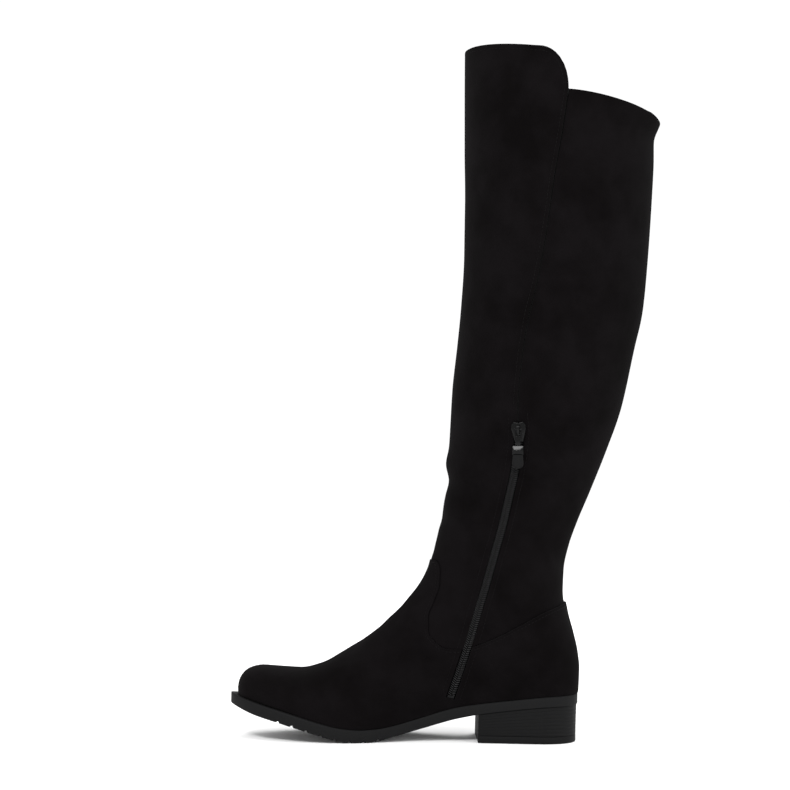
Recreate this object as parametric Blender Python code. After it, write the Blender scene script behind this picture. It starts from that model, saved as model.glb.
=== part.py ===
"""A suede knee-high boot for the right foot, sewn and moulded from separate pieces.

Metres, +Z up. The toe points to -X and the inner (medial) side of the foot faces -Y.
The origin is on the floor, under the middle of the heel block.
"""

import bisect
import functools
import math

import bmesh
import bpy
import numpy as np
from mathutils import Matrix, Vector

# The last: the foot part of the upper.
FOOT_LENGTH = 0.260
BALL_WIDTH = 0.0855
INSTEP_HEIGHT = 0.105
HEEL_RISE = 0.0275
TOE_SPRING = 0.0240

# The shaft, measured up from the heel seat.
SHAFT_HEIGHT = 0.492
TOP_DEPTH = 0.1483
TOP_WIDTH = 0.1256
COLLAR_FALL = 0.0070
COLLAR_POWER = 1.1
BACK_FALL = 0.0153
BACK_POWER = 1.4
NOTCH_DROP = 0.0325
NOTCH_RUN = 0.0240
CORNER_POWER = 1.05
NOTCH_BLEND = 0.0200

# Walls, steps and clearances.
WALL = 0.0020
VAMP_PROUD = 0.0008
PANEL_STEP = 0.0008
GAP = 0.0003
TAPE_GAP = 0.0011

# The moulded sole, heel and top piece.
BALL_SEAT = 0.0098
SOLE_EDGE = 0.0078
TOE_LIP = 0.0066
SIDE_LIP = 0.0024
HEEL_LIP = 0.0004
EDGE_ROUND = 0.0012
LUG_DEPTH = 0.0020
LUG_PITCH = 0.0108
LUG_GAP = 0.0023
LUG_START = 0.140
LUG_END = 0.500
LUG_DRAFT = 0.0003
WAIST_STEP = 0.0068
HEEL_LENGTH = 0.0763
HEEL_TUCK = 0.0009
HEEL_INSET = 0.0010
HEEL_TAPER = 0.0004
HEEL_CHAMFER = 0.0008
TOP_PIECE = 0.0055
LIFT_PITCH = 0.0036
LIFT_GROOVE = 0.0005
LIFT_MARGIN = 0.0020
INSOLE = 0.0025
INSOLE_PLAY = 0.0016

# The zips: a black coil zip on the inner side, a metal zip on the outer side.
COIL_WIDTH = 0.0062
METAL_WIDTH = 0.0058
SLOT_PLAY = 0.0004
SLOT_REACH = 0.0040
TAPE_WIDTH = 0.0200
TAPE = 0.0007
CHAIN_PROUD = 0.0004
COIL_TOP = 0.420
METAL_TOP = 0.905
COIL_LOW = 0.0040
METAL_LOW = 0.0120

# The sliders and the pulls that swing on them.
SLIDER_LENGTH = 0.0150
SLIDER_WIDTH = 0.0110
SLIDER_PLATE = 0.0016
SLIDER_TAIL = 0.62
SLIDER_STOP = 0.42
BRIDGE_WIDTH = 0.0022
BRIDGE_BAR = 0.0013
BRIDGE_REACH = 0.0034
EYE_PLAY = 0.0005
PIN = 0.0014
LINK_SIDE = 0.0011
EYE_END = 0.0064
LINK_NECK = 0.0084
METAL_NECK = 0.0150
COIL_LINK = 0.0120
COIL_GRIP_WIDTH = 0.0090
COIL_GRIP_LENGTH = 0.0170
COIL_GRIP_THICK = 0.0030
METAL_PULL = 0.0335
METAL_PULL_WIDTH = 0.0068

UPPER_COLUMNS = 13
BACK_COLUMNS = 7
FRONT_COLUMNS = 7
VAMP_STEPS = 40
COIL_STEPS = 16
METAL_STEPS = 32

HEEL_BACK = HEEL_LENGTH / 2 + HEEL_LIP + HEEL_INSET - HEEL_TUCK
HEEL_SEAT = BALL_SEAT + HEEL_RISE
FAR = 3 * TOP_DEPTH
TOP = 2 * SHAFT_HEIGHT

# The sole along its length, from the back of the heel (0) to the toe (1).
# columns: share of length, share of heel rise, share of toe spring, edge thickness as a share of
# the sole's edge, half width as a share of the ball width, sideways shift as a share of it.
SOLE_ROWS = (
    (0.000, 1.000, 0.000, 1.04, 0.345, 0.000),
    (0.090, 0.955, 0.000, 1.02, 0.345, 0.004),
    (0.180, 0.860, 0.000, 1.00, 0.345, 0.010),
    (0.285, 0.730, 0.000, 1.04, 0.340, 0.024),
    (0.345, 0.630, 0.000, 1.12, 0.336, 0.040),
    (0.395, 0.500, 0.000, 1.14, 0.338, 0.052),
    (0.440, 0.360, 0.000, 1.12, 0.352, 0.060),
    (0.485, 0.230, 0.000, 1.10, 0.376, 0.064),
    (0.533, 0.104, 0.000, 1.12, 0.408, 0.062),
    (0.580, 0.025, 0.000, 1.22, 0.440, 0.055),
    (0.625, 0.000, 0.000, 1.34, 0.468, 0.045),
    (0.680, 0.000, 0.058, 1.27, 0.491, 0.032),
    (0.735, 0.000, 0.200, 1.22, 0.500, 0.018),
    (0.792, 0.000, 0.385, 1.20, 0.500, 0.004),
    (0.850, 0.000, 0.565, 1.20, 0.500, -0.010),
    (0.920, 0.000, 0.760, 1.20, 0.500, -0.024),
    (1.000, 0.000, 1.000, 1.02, 0.500, -0.032),
)
HEEL_ROUND = 0.115
TOE_ROUND = 0.280

# Sections of the foot, from the toe to the back of the heel. Each lies in a plane across the boot,
# open below where it meets the sole.
# columns: foot of the section and its ridge, as shares of foot length from the heel; rise of the
# ridge as a share of instep height; half width as a share of the ball width; where it is widest, up
# the section; roundness below and above that; sideways shift of the ridge as a share of the width.
FOOT_ROWS = (
    (0.964, 1.000, 0.029, 0.215, 0.02, 2.00, 2.05, -0.036),
    (0.960, 1.002, 0.072, 0.225, 0.02, 2.00, 2.05, -0.036),
    (0.952, 0.999, 0.127, 0.248, 0.03, 2.00, 2.10, -0.036),
    (0.941, 0.989, 0.184, 0.280, 0.05, 2.00, 2.20, -0.036),
    (0.921, 0.967, 0.239, 0.328, 0.08, 2.00, 2.25, -0.035),
    (0.894, 0.932, 0.273, 0.385, 0.11, 2.00, 2.30, -0.034),
    (0.856, 0.879, 0.290, 0.436, 0.14, 2.00, 2.25, -0.032),
    (0.810, 0.818, 0.316, 0.478, 0.17, 2.00, 2.15, -0.030),
    (0.756, 0.756, 0.393, 0.505, 0.20, 2.00, 2.00, -0.028),
    (0.698, 0.700, 0.504, 0.513, 0.22, 2.00, 1.88, -0.026),
    (0.633, 0.645, 0.608, 0.503, 0.24, 2.00, 1.78, -0.024),
    (0.564, 0.588, 0.699, 0.475, 0.26, 2.00, 1.70, -0.022),
    (0.487, 0.536, 0.766, 0.440, 0.29, 2.00, 1.68, -0.020),
    (0.395, 0.501, 0.795, 0.418, 0.33, 2.05, 1.70, -0.018),
    (0.295, 0.475, 0.825, 0.415, 0.38, 2.10, 1.74, -0.014),
    (0.195, 0.456, 0.873, 0.424, 0.42, 2.15, 1.78, -0.010),
    (0.110, 0.445, 0.913, 0.434, 0.45, 2.20, 1.82, -0.006),
    (0.065, 0.441, 0.940, 0.439, 0.46, 2.22, 1.84, -0.004),
    (0.033, 0.438, 0.964, 0.442, 0.47, 2.25, 1.85, -0.002),
    (0.014, 0.436, 0.982, 0.444, 0.47, 2.28, 1.86, -0.001),
    (0.004, 0.434, 0.994, 0.445, 0.48, 2.30, 1.87, 0.000),
)

# Closed sections of the ankle and shaft.
# columns: back point forward of the heel back as a share of the top depth, its height as a share of
# shaft height; the same for the front point; half width as a share of the top width; where it is
# widest, from the back; roundness behind and in front of that.
SHAFT_ROWS = (
    (0.000, 0.000, 0.759, 0.213, 0.303, 0.48, 2.30, 1.88),
    (-0.003, 0.018, 0.757, 0.216, 0.304, 0.48, 2.32, 1.88),
    (-0.004, 0.038, 0.753, 0.222, 0.306, 0.48, 2.34, 1.89),
    (0.006, 0.064, 0.747, 0.230, 0.308, 0.49, 2.34, 1.90),
    (0.029, 0.093, 0.739, 0.241, 0.312, 0.49, 2.32, 1.90),
    (0.058, 0.124, 0.731, 0.253, 0.316, 0.50, 2.28, 1.90),
    (0.077, 0.158, 0.720, 0.268, 0.321, 0.50, 2.24, 1.90),
    (0.074, 0.191, 0.710, 0.287, 0.328, 0.50, 2.20, 1.90),
    (0.051, 0.228, 0.700, 0.309, 0.338, 0.50, 2.18, 1.90),
    (0.011, 0.264, 0.693, 0.334, 0.350, 0.50, 2.16, 1.90),
    (-0.060, 0.317, 0.686, 0.370, 0.374, 0.50, 2.14, 1.90),
    (-0.140, 0.380, 0.680, 0.419, 0.398, 0.50, 2.12, 1.90),
    (-0.210, 0.443, 0.672, 0.472, 0.426, 0.50, 2.10, 1.90),
    (-0.272, 0.534, 0.650, 0.541, 0.460, 0.50, 2.10, 1.90),
    (-0.315, 0.598, 0.634, 0.600, 0.480, 0.50, 2.10, 1.90),
    (-0.337, 0.681, 0.622, 0.681, 0.495, 0.50, 2.10, 1.90),
    (-0.351, 0.762, 0.622, 0.762, 0.501, 0.50, 2.10, 1.90),
    (-0.359, 0.829, 0.628, 0.839, 0.502, 0.50, 2.10, 1.90),
    (-0.358, 0.858, 0.630, 0.880, 0.502, 0.50, 2.10, 1.90),
    (-0.379, 0.890, 0.633, 0.941, 0.502, 0.50, 2.10, 1.90),
    (-0.385, 0.935, 0.636, 1.033, 0.502, 0.50, 2.10, 1.90),
)
FIRST_CLOSED = len(FOOT_ROWS)

# Where the front panel ends on each side, from the collar down to the sole. Below the sliders the
# zips run along these lines.
# columns: height above the heel seat as a share of shaft height, forward of the heel back as a
# share of the top depth.
MEDIAL_LINE = (
    (0.000, 0.668),
    (0.039, 0.628),
    (0.080, 0.587),
    (0.115, 0.555),
    (0.174, 0.497),
    (0.215, 0.462),
    (0.254, 0.426),
    (0.301, 0.393),
    (0.345, 0.364),
    (0.402, 0.344),
    (0.440, 0.354),
    (0.498, 0.343),
    (0.573, 0.312),
    (0.632, 0.268),
    (0.707, 0.228),
    (0.789, 0.193),
    (0.856, 0.157),
    (0.930, 0.124),
)
LATERAL_LINE = (
    (0.000, 0.262),
    (0.067, 0.300),
    (0.122, 0.338),
    (0.185, 0.388),
    (0.230, 0.408),
    (0.280, 0.404),
    (0.333, 0.368),
    (0.378, 0.346),
    (0.417, 0.314),
    (0.459, 0.280),
    (0.543, 0.212),
    (0.626, 0.128),
    (0.711, 0.076),
    (0.815, 0.036),
    (0.930, -0.014),
)

# Where the foot part ends and the shaft begins, seen from the side: the tongue of the vamp in
# front, a rounded lobe of the shaft on each side, and the counter rising behind.
# columns: forward of the heel back as a share of foot length, height above the heel seat as a share
# of instep height.
VAMP_LINE = (
    (0.480, 0.960),
    (0.424, 0.955),
    (0.413, 0.880),
    (0.414, 0.790),
    (0.430, 0.660),
    (0.446, 0.550),
    (0.445, 0.445),
    (0.424, 0.372),
    (0.390, 0.328),
    (0.352, 0.326),
    (0.300, 0.360),
    (0.240, 0.425),
    (0.170, 0.520),
    (0.100, 0.610),
    (0.040, 0.660),
    (-0.020, 0.700),
)

SUEDE = ((0.012, 0.011, 0.011, 1.0), 0.95, 0.0)
RUBBER = ((0.028, 0.028, 0.029, 1.0), 0.62, 0.0)
TEXTILE = ((0.014, 0.014, 0.015, 1.0), 0.90, 0.0)
NYLON = ((0.030, 0.029, 0.030, 1.0), 0.45, 0.0)
BLACK_METAL = ((0.020, 0.020, 0.022, 1.0), 0.22, 0.9)
GOLD = ((0.800, 0.560, 0.300, 1.0), 0.28, 1.0)


@functools.lru_cache(maxsize=None)
def curve(rows, column):
    """Places, values and slopes of a table's column, for a cubic that never overshoots."""
    xs = [row[0] for row in rows]
    ys = [row[column] for row in rows]
    if xs[0] > xs[-1]:
        xs, ys = xs[::-1], ys[::-1]
    steps = [b - a for a, b in zip(xs, xs[1:])]
    rates = [(b - a) / h for a, b, h in zip(ys, ys[1:], steps)]
    slopes = [rates[0]]
    for i in range(1, len(rates)):
        if rates[i - 1] * rates[i] <= 0:
            slopes.append(0.0)
            continue
        near, far = 2 * steps[i] + steps[i - 1], steps[i] + 2 * steps[i - 1]
        slopes.append((near + far) / (near / rates[i - 1] + far / rates[i]))
    slopes.append(rates[-1])
    return xs, ys, slopes


def smooth(rows, column, at):
    """A table's column between its rows."""
    xs, ys, slopes = curve(rows, column)
    at = min(max(at, xs[0]), xs[-1])
    i = min(bisect.bisect_right(xs, at), len(xs) - 1) - 1
    step = xs[i + 1] - xs[i]
    u = (at - xs[i]) / step
    start = (1 + 2 * u) * (1 - u) ** 2 * ys[i] + u * (1 - u) ** 2 * step * slopes[i]
    end = u * u * (3 - 2 * u) * ys[i + 1] + u * u * (u - 1) * step * slopes[i + 1]
    return start + end


def sole_share(x):
    """How far along the sole a place is, from the back of the heel to the toe."""
    return (HEEL_BACK + HEEL_LIP - x) / (FOOT_LENGTH + TOE_LIP + HEEL_LIP)


def seat(x):
    """Height of the sole's top, on which the upper stands."""
    share = sole_share(x)
    heel, toe = smooth(SOLE_ROWS, 1, share), smooth(SOLE_ROWS, 2, share)
    return BALL_SEAT + HEEL_RISE * heel + TOE_SPRING * toe


def tread(x):
    """Height of the sole's underside, flat on the floor under the ball."""
    return max(0.0, seat(x) - SOLE_EDGE * smooth(SOLE_ROWS, 3, sole_share(x)))


def outline(share, width):
    """Half width and sideways shift of a sole-shaped outline of that ball width."""
    half = 2 * smooth(SOLE_ROWS, 4, share)
    if share < HEEL_ROUND:
        q = min(1.0, 1 - share / HEEL_ROUND)
        half *= (1 - q**2.2) ** (1 / 2.2)
    if share > 1 - TOE_ROUND:
        q = min(1.0, (share - 1 + TOE_ROUND) / TOE_ROUND)
        half *= (1 - q**2.1) ** 0.62
    return half * width / 2, smooth(SOLE_ROWS, 5, share) * width


def station_rows():
    """Every section in metres: back x, z, front x, z, half width, widest, roundness, ridge shift."""
    rows = []
    for foot, ridge, rise, half, widest, below, above, shift in FOOT_ROWS:
        x = HEEL_BACK - foot * FOOT_LENGTH
        z = seat(x) + GAP
        front = (HEEL_BACK - ridge * FOOT_LENGTH, z + rise * INSTEP_HEIGHT)
        rows.append((x, z, *front, half * BALL_WIDTH, widest, below, above, shift * BALL_WIDTH))
    for back, low, front, high, half, widest, behind, ahead in SHAFT_ROWS:
        rows.append((
            HEEL_BACK - back * TOP_DEPTH,
            HEEL_SEAT + GAP + low * SHAFT_HEIGHT,
            HEEL_BACK - front * TOP_DEPTH,
            HEEL_SEAT + high * SHAFT_HEIGHT,
            half * TOP_WIDTH,
            widest,
            behind,
            ahead,
            0.0,
        ))
    return tuple((i, *row) for i, row in enumerate(rows))


STATIONS = station_rows()
LAST = len(STATIONS) - 1


@functools.lru_cache(maxsize=None)
def station(k):
    """The section at a place k among the stations, with its width where it meets the sole."""
    bx, bz, fx, fz, half, widest, low, high, shift = (
        smooth(STATIONS, c, k) for c in range(1, 10)
    )
    bottom, centre = 0.0, 0.0
    if k < FIRST_CLOSED:
        bz = seat(bx) + GAP
        bottom, centre = outline((HEEL_BACK - bx) / FOOT_LENGTH, BALL_WIDTH)
        centre *= min(1.0, (FIRST_CLOSED - k) / 4)
        half = max(half, bottom)
    return bx, bz, fx, fz, half, widest, low, high, shift, bottom, centre


def on_section(section, t, side):
    """A point of the outer surface: t runs up the section, side is -1 medial or 1 lateral."""
    bx, bz, fx, fz, half, widest, low, high, shift, bottom, centre = section
    if t < widest:
        q, n = (widest - t) / widest, low
        width = half * max(0.0, 1 - q**n * (1 - (bottom / half) ** n)) ** (1 / n)
    else:
        q, n = (t - widest) / (1 - widest), high
        width = half * max(0.0, 1 - q**n) ** (1 / n)
    middle = centre * (1 - t) + shift * t
    return Vector((bx + t * (fx - bx), middle + side * width, bz + t * (fz - bz)))


def spread(section, a):
    """Spaces columns evenly round a section: a from 0 at its foot or back to 1 at its front."""
    closed = (1 - math.cos(math.pi * a)) / 2
    opened = math.sin(math.pi * a / 2)
    share = min(1.0, section[9] / section[4] * 1.1)
    return closed * (1 - share) + opened * share


def section_ends(k):
    """Back and front point of the section at a place k, in the side view."""
    bx, bz, fx, fz = (smooth(STATIONS, c, k) for c in range(1, 5))
    return (bx, seat(bx) + GAP, fx, fz) if k < FIRST_CLOSED else (bx, bz, fx, fz)


def locate(x, z):
    """The station and the place up it at which a point of the side view lies."""
    low, high = 0.0, float(LAST)
    for _ in range(28):
        k = (low + high) / 2
        bx, bz, fx, fz = section_ends(k)
        if (fx - bx) * (z - bz) - (fz - bz) * (x - bx) < 0:
            low = k
        else:
            high = k
    t = ((x - bx) * (fx - bx) + (z - bz) * (fz - bz)) / ((fx - bx) ** 2 + (fz - bz) ** 2)
    return k, min(max(t, 0.0), 1.0)


def surface(x, z, side):
    """The point of the outer surface that the side view shows at x, z."""
    k, t = locate(x, z)
    return on_section(station(k), t, side)


def surface_normal(x, z, side):
    """Outward normal of the outer surface there, taken over a few millimetres."""
    reach = 2 * WALL
    along = surface(x + reach, z, side) - surface(x - reach, z, side)
    up = surface(x, z + reach, side) - surface(x, z - reach, side)
    normal = along.cross(up).normalized()
    return normal if normal.y * side > 0 else -normal


def line_x(line, z):
    """Where a seam line is at a height, in the side view."""
    share = (z - HEEL_SEAT) / SHAFT_HEIGHT
    return HEEL_BACK - smooth(line, 1, share) * TOP_DEPTH


def seam_place(section, line):
    """How far up a section the front panel's edge crosses it."""
    bx, bz, fx, fz = section[:4]
    low, high = 0.02, 0.98
    for _ in range(30):
        t = (low + high) / 2
        ahead = bx + t * (fx - bx) - line_x(line, bz + t * (fz - bz))
        if ahead > 0:
            low = t
        else:
            high = t
    return t


def material(name, look):
    """A Principled material of a colour, roughness and metallic value."""
    made = bpy.data.materials.get(name) or bpy.data.materials.new(name)
    made.use_nodes = True
    shader = made.node_tree.nodes["Principled BSDF"]
    shader.inputs["Base Color"].default_value = look[0]
    shader.inputs["Roughness"].default_value = look[1]
    shader.inputs["Metallic"].default_value = look[2]
    return made


def add_object(name, bm, finish=None):
    """A mesh object from a bmesh, its faces pointing out."""
    bmesh.ops.recalc_face_normals(bm, faces=bm.faces)
    mesh = bpy.data.meshes.new(name)
    bm.to_mesh(mesh)
    bm.free()
    made = bpy.data.objects.new(name, mesh)
    bpy.context.scene.collection.objects.link(made)
    if finish:
        mesh.materials.append(finish)
        mesh.shade_smooth()
        mesh.set_sharp_from_angle(angle=math.radians(40))
    return made


def loft(name, rings, finish=None):
    """A closed solid through rings of equally many points."""
    bm = bmesh.new()
    rows = [[bm.verts.new(p) for p in ring] for ring in rings]
    count = len(rows[0])
    for near, far in zip(rows, rows[1:]):
        for i in range(count):
            j = (i + 1) % count
            bm.faces.new((near[i], near[j], far[j], far[i]))
    bm.faces.new(rows[0][::-1])
    bm.faces.new(rows[-1])
    return add_object(name, bm, finish)


def cutter(name, rings):
    """A closed solid that only cuts others."""
    made = loft(name, rings)
    made.hide_render = True
    made.display_type = "WIRE"
    return made


def boolean(piece, tool, operation, solver="EXACT"):
    """Cuts, keeps or joins with a Boolean modifier."""
    step = piece.modifiers.new(f"{operation.lower()} {tool.name}", "BOOLEAN")
    step.operation = operation
    step.solver = solver
    step.object = tool


def section_grid(places, seams):
    """Points, normals and column offsets of the outer surface at those stations.

    With seams, a column follows the edge of the front panel on each side, and the columns behind
    it are set back by the panel's step.
    """
    points = []
    for k in places:
        section = station(k)
        halves = []
        for line, side in ((MEDIAL_LINE, -1), (LATERAL_LINE, 1)):
            if seams:
                t = seam_place(section, line)
                edge = math.acos(1 - 2 * t) / math.pi
                back = [edge * i / BACK_COLUMNS for i in range(BACK_COLUMNS)]
                shares = back + [
                    edge + (1 - edge) * i / FRONT_COLUMNS for i in range(FRONT_COLUMNS + 1)
                ]
                shares = [(1 - math.cos(math.pi * a)) / 2 for a in shares]
            else:
                shares = [spread(section, i / UPPER_COLUMNS) for i in range(UPPER_COLUMNS + 1)]
            halves.append([on_section(section, t, side) for t in shares])
        points.append(halves[0] + halves[1][-2::-1])
    grid = np.array(points)
    closed = [k >= FIRST_CLOSED for k in places]
    down = np.gradient(grid, axis=0)
    round_way = np.gradient(grid, axis=1)
    for i, ring in enumerate(grid):
        if closed[i]:
            round_way[i, 0] = round_way[i, -1] = ring[1] - ring[-2]
    normals = np.cross(round_way, down)
    normals /= np.linalg.norm(normals, axis=2, keepdims=True)
    middle = grid.mean(axis=1, keepdims=True)
    outward = np.sum(normals * (grid - middle), axis=(1, 2))
    normals[outward < 0] *= -1
    return grid, normals, closed


def shell(name, places, outset, seams, finish):
    """A hollow closed solid between the outer surface, moved out by outset, and the lining."""
    grid, normals, closed = section_grid(places, seams)
    count = grid.shape[1]
    if seams:
        left, right = BACK_COLUMNS, count - 1 - BACK_COLUMNS
        order = [*range(left + 1), *range(left, right + 1), *range(right, count)]
        steps = [-PANEL_STEP] * (left + 1) + [0.0] * (right - left + 1)
        steps += [-PANEL_STEP] * (count - right)
    else:
        order, steps = list(range(count)), [0.0] * count
    bm = bmesh.new()
    outer, inner = [], []
    for i in range(len(places)):
        offset = [outset + s for s in steps]
        wall = [bm.verts.new(grid[i, c] + normals[i, c] * o) for c, o in zip(order, offset)]
        lining = [grid[i, c] - normals[i, c] * WALL for c in range(count)]
        if not closed[i]:
            ends = range(count) if places[i] == 0 else (0, count - 1)
            for c in ends:
                flat = normals[i, c] * (1, 1, 0)
                flat /= np.linalg.norm(flat)
                lining[c] = grid[i, c] - flat * WALL
                lining[c][2] = seat(lining[c][0]) + GAP
                at = [j for j, o in enumerate(order) if o == c]
                for j in at:
                    wall[j].co = grid[i, c] + flat * offset[j]
                    wall[j].co.z = seat(wall[j].co.x) + GAP
        lining = [bm.verts.new(p) for p in lining]
        if closed[i]:
            bm.verts.remove(wall[-1])
            bm.verts.remove(lining[-1])
            wall[-1], lining[-1] = wall[0], lining[0]
        outer.append(wall)
        inner.append([lining[c] for c in order])
    add_quads(bm, outer, False)
    add_quads(bm, inner, True)
    add_quads(bm, [outer[0], inner[0]], True)
    add_quads(bm, [outer[-1], inner[-1]], False)
    for c in (0, -1):
        edge_rows = [[o[c], n[c]] for o, n, shut in zip(outer, inner, closed) if not shut]
        if closed.count(False):
            first = closed.index(True)
            edge_rows.append([outer[first][c], inner[first][c]])
        add_quads(bm, edge_rows, c == 0)
    return add_object(name, bm, finish)


def add_quads(bm, rows, flip):
    """Faces between rows of vertices; a quad whose corners meet becomes a triangle or nothing."""
    for near, far in zip(rows, rows[1:]):
        for i in range(len(near) - 1):
            corners = []
            for v in (near[i], near[i + 1], far[i + 1], far[i]):
                if v not in corners:
                    corners.append(v)
            if len(corners) > 2:
                bm.faces.new(corners[::-1] if flip else corners)


def smooth_path(points, count):
    """Points evenly spread on a smooth curve through a list of side-view points."""
    lengths = [0.0]
    for a, b in zip(points, points[1:]):
        lengths.append(lengths[-1] + math.dist(a, b))
    rows = tuple((length, *p) for length, p in zip(lengths, points))
    at = [lengths[-1] * i / (count - 1) for i in range(count)]
    return [(smooth(rows, 1, s), smooth(rows, 2, s)) for s in at]


def shifted(path, distance):
    """A side-view path moved sideways, to its left as it runs."""
    moved = []
    for i, (x, z) in enumerate(path):
        before, after = path[max(i - 1, 0)], path[min(i + 1, len(path) - 1)]
        dx, dz = after[0] - before[0], after[1] - before[1]
        length = math.hypot(dx, dz)
        moved.append((x - dz / length * distance, z + dx / length * distance))
    return moved


def prism(path, y_from, y_to):
    """Two rings of a side-view outline, for a solid across the boot."""
    return [[Vector((x, y, z)) for x, z in path] for y in (y_from, y_to)]


def vamp_line():
    """The line between foot part and shaft, from the front to the back, beyond both."""
    points = [
        (HEEL_BACK - s * FOOT_LENGTH, HEEL_SEAT + h * INSTEP_HEIGHT) for s, h in VAMP_LINE
    ]
    return smooth_path(points, VAMP_STEPS)


def vamp_cutter(name, above):
    """The space above or below the vamp line."""
    path = shifted(vamp_line(), GAP / 2 if above else -GAP / 2)
    ends = TOP if above else -TOP
    start, end = path[0], path[-1]
    ring = [(-FAR, start[1]), *path, (FAR, end[1]), (FAR, ends), (-FAR, ends)]
    return cutter(name, prism(ring, -FAR, FAR))


def notch_height():
    """Height at which the front panel's corner meets the back panel's edge."""
    return HEEL_SEAT + SHAFT_HEIGHT - COLLAR_FALL - NOTCH_DROP


def collar_line(line):
    """The collar in the side view: the high front panel, its round corner and the back panel."""
    top = HEEL_SEAT + SHAFT_HEIGHT
    front = HEEL_BACK - SHAFT_ROWS[-1][2] * TOP_DEPTH
    back = HEEL_BACK - SHAFT_ROWS[-1][0] * TOP_DEPTH
    notch = notch_height()
    seam = line_x(line, notch)
    start = seam - NOTCH_RUN
    path = [(-FAR, top)]
    for i in range(9):
        u = i / 8
        path.append((front + (start - front) * u, top - COLLAR_FALL * u**COLLAR_POWER))
    for i in range(1, 9):
        turn = math.pi / 2 * i / 8
        path.append((
            start + NOTCH_RUN * math.sin(turn) ** CORNER_POWER,
            notch + NOTCH_DROP * math.cos(turn) ** CORNER_POWER,
        ))
    for i in range(1, 9):
        u = i / 8
        path.append((seam + (back - seam) * u, notch - BACK_FALL * u**BACK_POWER))
    path.append((FAR, notch - BACK_FALL))
    return path


def collar_cutter():
    """The space above the collar, whose notch lies further back on the outer side."""
    near, far = collar_line(MEDIAL_LINE), collar_line(LATERAL_LINE)
    rings = []
    for y, path in ((-FAR, near), (-NOTCH_BLEND, near), (NOTCH_BLEND, far), (FAR, far)):
        rings.append([Vector((x, y, z)) for x, z in [*path, (FAR, TOP), (-FAR, TOP)]])
    return cutter("above_collar", rings)


def zip_path(line, top_share, low, count):
    """A zip's centre line in the side view, from just over the sole up to its slider."""
    top, bottom = HEEL_SEAT + top_share * SHAFT_HEIGHT, HEEL_SEAT + low
    heights = [bottom + (top - bottom) * i / (count - 1) for i in range(count)]
    return [(line_x(line, z), z) for z in heights]


def slot_cutter(name, path, width, side):
    """The opening through the wall that a zip closes."""
    (x0, z0), (x1, z1) = path[0], path[-1]
    grown = [(x0, z0 - SLOT_PLAY), *path[1:-1], (x1, z1 + SLOT_PLAY)]
    left, right = shifted(grown, width / 2 + SLOT_PLAY), shifted(grown, -width / 2 - SLOT_PLAY)
    inside, outside = (-FAR, SLOT_REACH) if side < 0 else (-SLOT_REACH, FAR)
    return cutter(name, prism([*left, *right[::-1]], inside, outside))


def zip_solid(name, path, width, side, finish):
    """Tape and chain of a zip in one: the chain fills the slot, the tape lies behind the wall."""
    inner, outer = -(WALL + TAPE_GAP), CHAIN_PROUD
    half, tape = width / 2, TAPE_WIDTH / 2
    profile = (
        (-tape, inner - TAPE),
        (-half, inner - TAPE),
        (half, inner - TAPE),
        (tape, inner - TAPE),
        (tape, inner),
        (half, inner),
        (half, outer),
        (-half, outer),
        (-half, inner),
        (-tape, inner),
    )
    across = [shifted(path, b) for b, _ in profile]
    rings = [
        [surface(*across[j][i], side) + Vector((0, side * n, 0)) for j, (_, n) in enumerate(profile)]
        for i in range(len(path))
    ]
    return loft(name, rings, finish)


def surface_frame(x, z, side, lift):
    """Place on the outer surface, with axes: level along it, straight out of it, and up it."""
    normal = surface_normal(x, z, side)
    level = Vector((0, 0, 1)).cross(normal).normalized()
    upward = normal.cross(level).normalized()
    frame = Matrix((level, normal, upward)).transposed().to_4x4()
    frame.translation = surface(x, z, side) + normal * lift
    return frame


def plate(name, shape, low, high, finish=None):
    """An outline, given level and upward, as a solid from low to high along the outward axis."""
    rings = [[Vector((u, n, w)) for u, w in shape] for n in (low, high)]
    return loft(name, rings, finish) if finish else cutter(name, rings)


def round_end(half, bottom, roundness):
    """The lower end of a hanging plate: a half ellipse from its right side to its left."""
    turns = [math.pi * i / 8 for i in range(9)]
    return [
        (half * math.cos(a), bottom + half * roundness * (1 - math.sin(a))) for a in turns
    ]


def slider(name, line, z, side, finish):
    """A slider's plate over the chain, with the bridge that holds the pull."""
    x, half = line_x(line, z), SLIDER_WIDTH / 2
    lean = math.atan2(line_x(line, z + half) - line_x(line, z - half), 2 * half) * side
    low, high = -SLIDER_TAIL * SLIDER_LENGTH, (1 - SLIDER_TAIL) * SLIDER_LENGTH
    right = (
        (0.55 * half, low),
        (0.74 * half, low * 0.55),
        (half, 0.1 * high),
        (0.96 * half, 0.62 * high),
        (0.62 * half, high),
        (0.18 * half, 0.86 * high),
    )
    shape = [*right, *[(-u, w) for u, w in right[::-1]]]
    along, across = math.cos(lean), math.sin(lean)
    shape = [(u * along - w * across, u * across + w * along) for u, w in shape]
    body = plate(name, shape, 0.0, SLIDER_PLATE, finish)
    body.matrix_world = surface_frame(x, z, side, CHAIN_PROUD + GAP)
    top = SLIDER_PLATE + PIN + 2 * EYE_PLAY
    foot, inside, root = BRIDGE_REACH, BRIDGE_REACH - BRIDGE_BAR, SLIDER_PLATE * 0.4
    arch = (
        (foot, root),
        (foot, top + 0.4 * BRIDGE_BAR),
        (inside, top + BRIDGE_BAR),
        (-inside, top + BRIDGE_BAR),
        (-foot, top + 0.4 * BRIDGE_BAR),
        (-foot, root),
        (-inside, root),
        (-inside, top),
        (inside, top),
        (inside, root),
    )
    rings = [[Vector((u, n, w)) for w, n in arch] for u in (-BRIDGE_WIDTH / 2, BRIDGE_WIDTH / 2)]
    bridge = cutter(f"{name}_bridge", rings)
    bridge.parent = body
    boolean(body, bridge, "UNION")
    return body


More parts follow.
